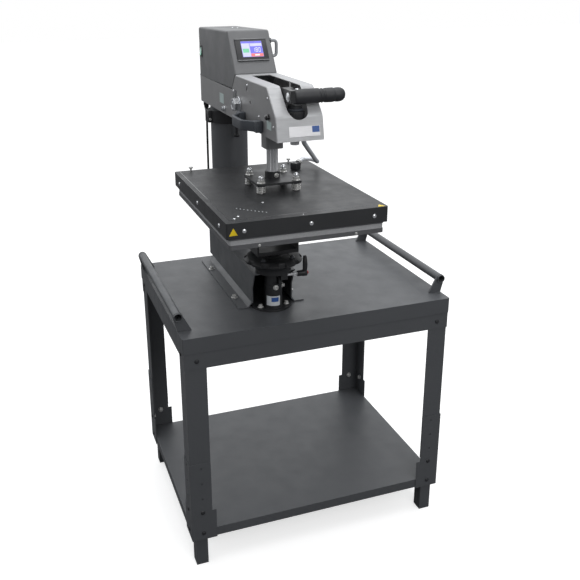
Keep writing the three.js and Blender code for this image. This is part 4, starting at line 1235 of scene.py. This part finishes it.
def knob():
    """The pressure knob: a ribbed head with a pale ring, over its spindle and hexagon foot."""
    axis = upright(0, -168)

    def ribbed(angle, r, z):
        return r - (0.9 if 562 < z < 584 and math.cos(angle * 36) > 0.2 else 0)

    turned("pressure_head", [
        (0, 556), (18.6, 556), (21, 558.4), (23.4, 562), (23.8, 563), (23.8, 583), (23.4, 584.6), (22, 586),
        (19.4, 587.4), (17.6, 589), (17.6, 598.6), (16.6, 600), (0, 600)], axis, 144, "black_plastic", "knob",
        ["pressure_knob"], wave=ribbed)
    turned("pressure_ring", [
        (17.7, 587.6), (20.6, 587.6), (20.9, 588.2), (20.9, 591), (20.4, 591.6), (17.7, 591.6),
        (17.7, 587.6)], axis, 64, "slate_plastic", "knob")
    bm = bmesh.new()
    lathe(bm, [(0, 516), (8, 516), (8, 556), (0, 556)], axis, 40)
    hexagon(bm, axis, 19.6, 503, 516)
    piece("pressure_spindle", bm, "steel", "knob")


def grip():
    """The rubber grip: two ring grooves, a swelling and a domed end, bolted through the arm's cheek."""
    axis = on_axis(at(0, -187, 622), (1, 0, 0))
    bm = bmesh.new()
    lathe(bm, [
        (6, -11.7), (15.4, -11.7), (16.8, -10.6), (17.6, -8.6), (18, -5), (18, 50), (17.8, 53), (16.6, 54.4),
        (15.8, 55.6), (15.8, 57.6), (16.6, 58.8), (17.3, 60.2), (17.3, 61.6), (16.4, 63), (15.6, 64.2),
        (15.6, 66), (16.6, 67.4), (17.3, 69), (17.5, 78), (17.6, 88), (17.0, 91), (16.2, 93), (16.6, 96),
        (17.3, 100), (17.2, 106), (16.2, 111.6), (14.0, 116), (10.6, 119.4), (6, 121.4), (0, 122)], axis, 72)
    lathe(bm, [(0, -24), (6, -24), (6, -11), (0, -11)], axis, 32)
    piece("grip", bm, "grip_rubber", "lever", ["lever_grip"], 50)
    bm = bmesh.new()
    lathe(bm, [(0, -24.3), (10.8, -24.3), (11.2, -24.7), (11.2, -25.3), (10.6, -25.6), (9.4, -25.6)]
          + dome(9.4, -25.6, -2.6) + [(0, -28.2)], axis, 48)
    dome_bolt(bm, on_axis(at(-2, -187, 639.4), (0, 0, 1)), 4.4)
    piece("grip_bolt", bm, "chrome", "lever")


def socket_label():
    """A blank pale wrap with a blue field round the foot of the socket."""
    steps = 24
    for name, look, (a0, a1), (z0, z1), r in (("wrap", "white_label", (-158, -62), (14, 43), 25.25),
                                              ("wrap_field", "blue_label", (-122, -74), (26, 39), 25.45)):
        bm = bmesh.new()
        section = ((r - 0.2, z0), (r, z0), (r, z1), (r - 0.2, z1))
        turns = [math.radians(a0 + (a1 - a0) * k / steps) for k in range(steps + 1)]
        loft(bm, [[bm.verts.new(at(radius * math.cos(a), radius * math.sin(a), z)) for radius, z in section]
                  for a in turns])
        piece(f"socket_{name}", bm, look, "root")


for make in (
        table_bolts, handle_screws, base_fasteners, socket_collar, receiver, column, socket_lever,
        cover_details, platen_screws, heater_springs, heater_studs, ram, connector, head_cover, make_housing,
        display, side_details, front_plate_label, pivot, swing_bow, side_bow, glands, lock_pin, knob, grip,
        socket_label):
    make()


# ---------------- stage
bpy.ops.mesh.primitive_plane_add(size=40, location=(0, 0, 0))
floor = bpy.context.object
floor.name = "floor"
floor_look = Look("floor_look")
paper = floor_look.ramp(floor_look.noise(1.5, 2), srgb(214, 214, 214), srgb(218, 218, 218))
floor_look.set({"Base Color": paper, "Roughness": 0.95, "Specular IOR Level": 0.0})


def seen_white(look, glow, bounce):
    """Lifts the floor to paper white for the camera, and keeps its bounce on the press low."""
    light = wired(look.tree, "Emission", {"Color": WHITE, "Strength": glow})
    lifted = wired(look.tree, "AddShader", {0: look.shader.outputs[0], 1: light.outputs[0]})
    dull = wired(look.tree, "BsdfDiffuse", {"Color": bounce})
    camera_sees(look.tree, lifted, dull, "Material Output")


seen_white(floor_look, 0.62, (0.16, 0.16, 0.165, 1))
floor.data.materials.append(floor_look.material)


def make_world():
    """A white backdrop for the camera. The press stands in a room with a bright rear and a dim front."""
    world = bpy.data.worlds.new("studio")
    bpy.context.scene.world = world
    world.use_nodes = True
    tree = world.node_tree
    spot = wired(tree, "TexCoord", {})
    split = wired(tree, "SeparateXYZ", {"Vector": spot.outputs["Generated"]})

    def ramp(axis, span, strength):
        node = map_range(tree, split.outputs[axis], span, strength)
        node.interpolation_type = "SMOOTHSTEP"
        return node.outputs["Result"]

    rear = ramp("Y", (0.1, 0.8), (0.24, 1.2))
    roof = ramp("Z", (0.2, 0.9), (0.0, 0.4))
    total = wired(tree, "Math", {0: rear, 1: roof})
    total.operation = "ADD"
    room = tree.nodes["Background"]
    wire(tree, room, {"Strength": total.outputs[0], "Color": (0.97, 0.985, 1, 1)})
    backdrop = wired(tree, "Background", {"Color": WHITE, "Strength": 1.0})
    camera_sees(tree, backdrop, room, "World Output")


make_world()
bpy.context.scene.view_settings.view_transform = "Standard"


def area_light(name, place, target, size, power):
    data = bpy.data.lights.new(name, "AREA")
    data.shape = "RECTANGLE"
    data.size, data.size_y = size
    data.energy = power
    obj = bpy.data.objects.new(name, data)
    obj.location = place
    obj.rotation_euler = (Vector(target) - Vector(place)).to_track_quat("-Z", "Y").to_euler()
    bpy.context.scene.collection.objects.link(obj)


area_light("top", (0.3, -0.2, 4.0), (0, 0, 0.8), (3.0, 3.0), 56)
area_light("left", (-3.2, -1.0, 2.6), (0, 0, 0.9), (2.0, 2.0), 2)
area_light("front", (0.5, -3.3, 2.7), (0, 0, 0.5), (2.4, 1.8), 44)
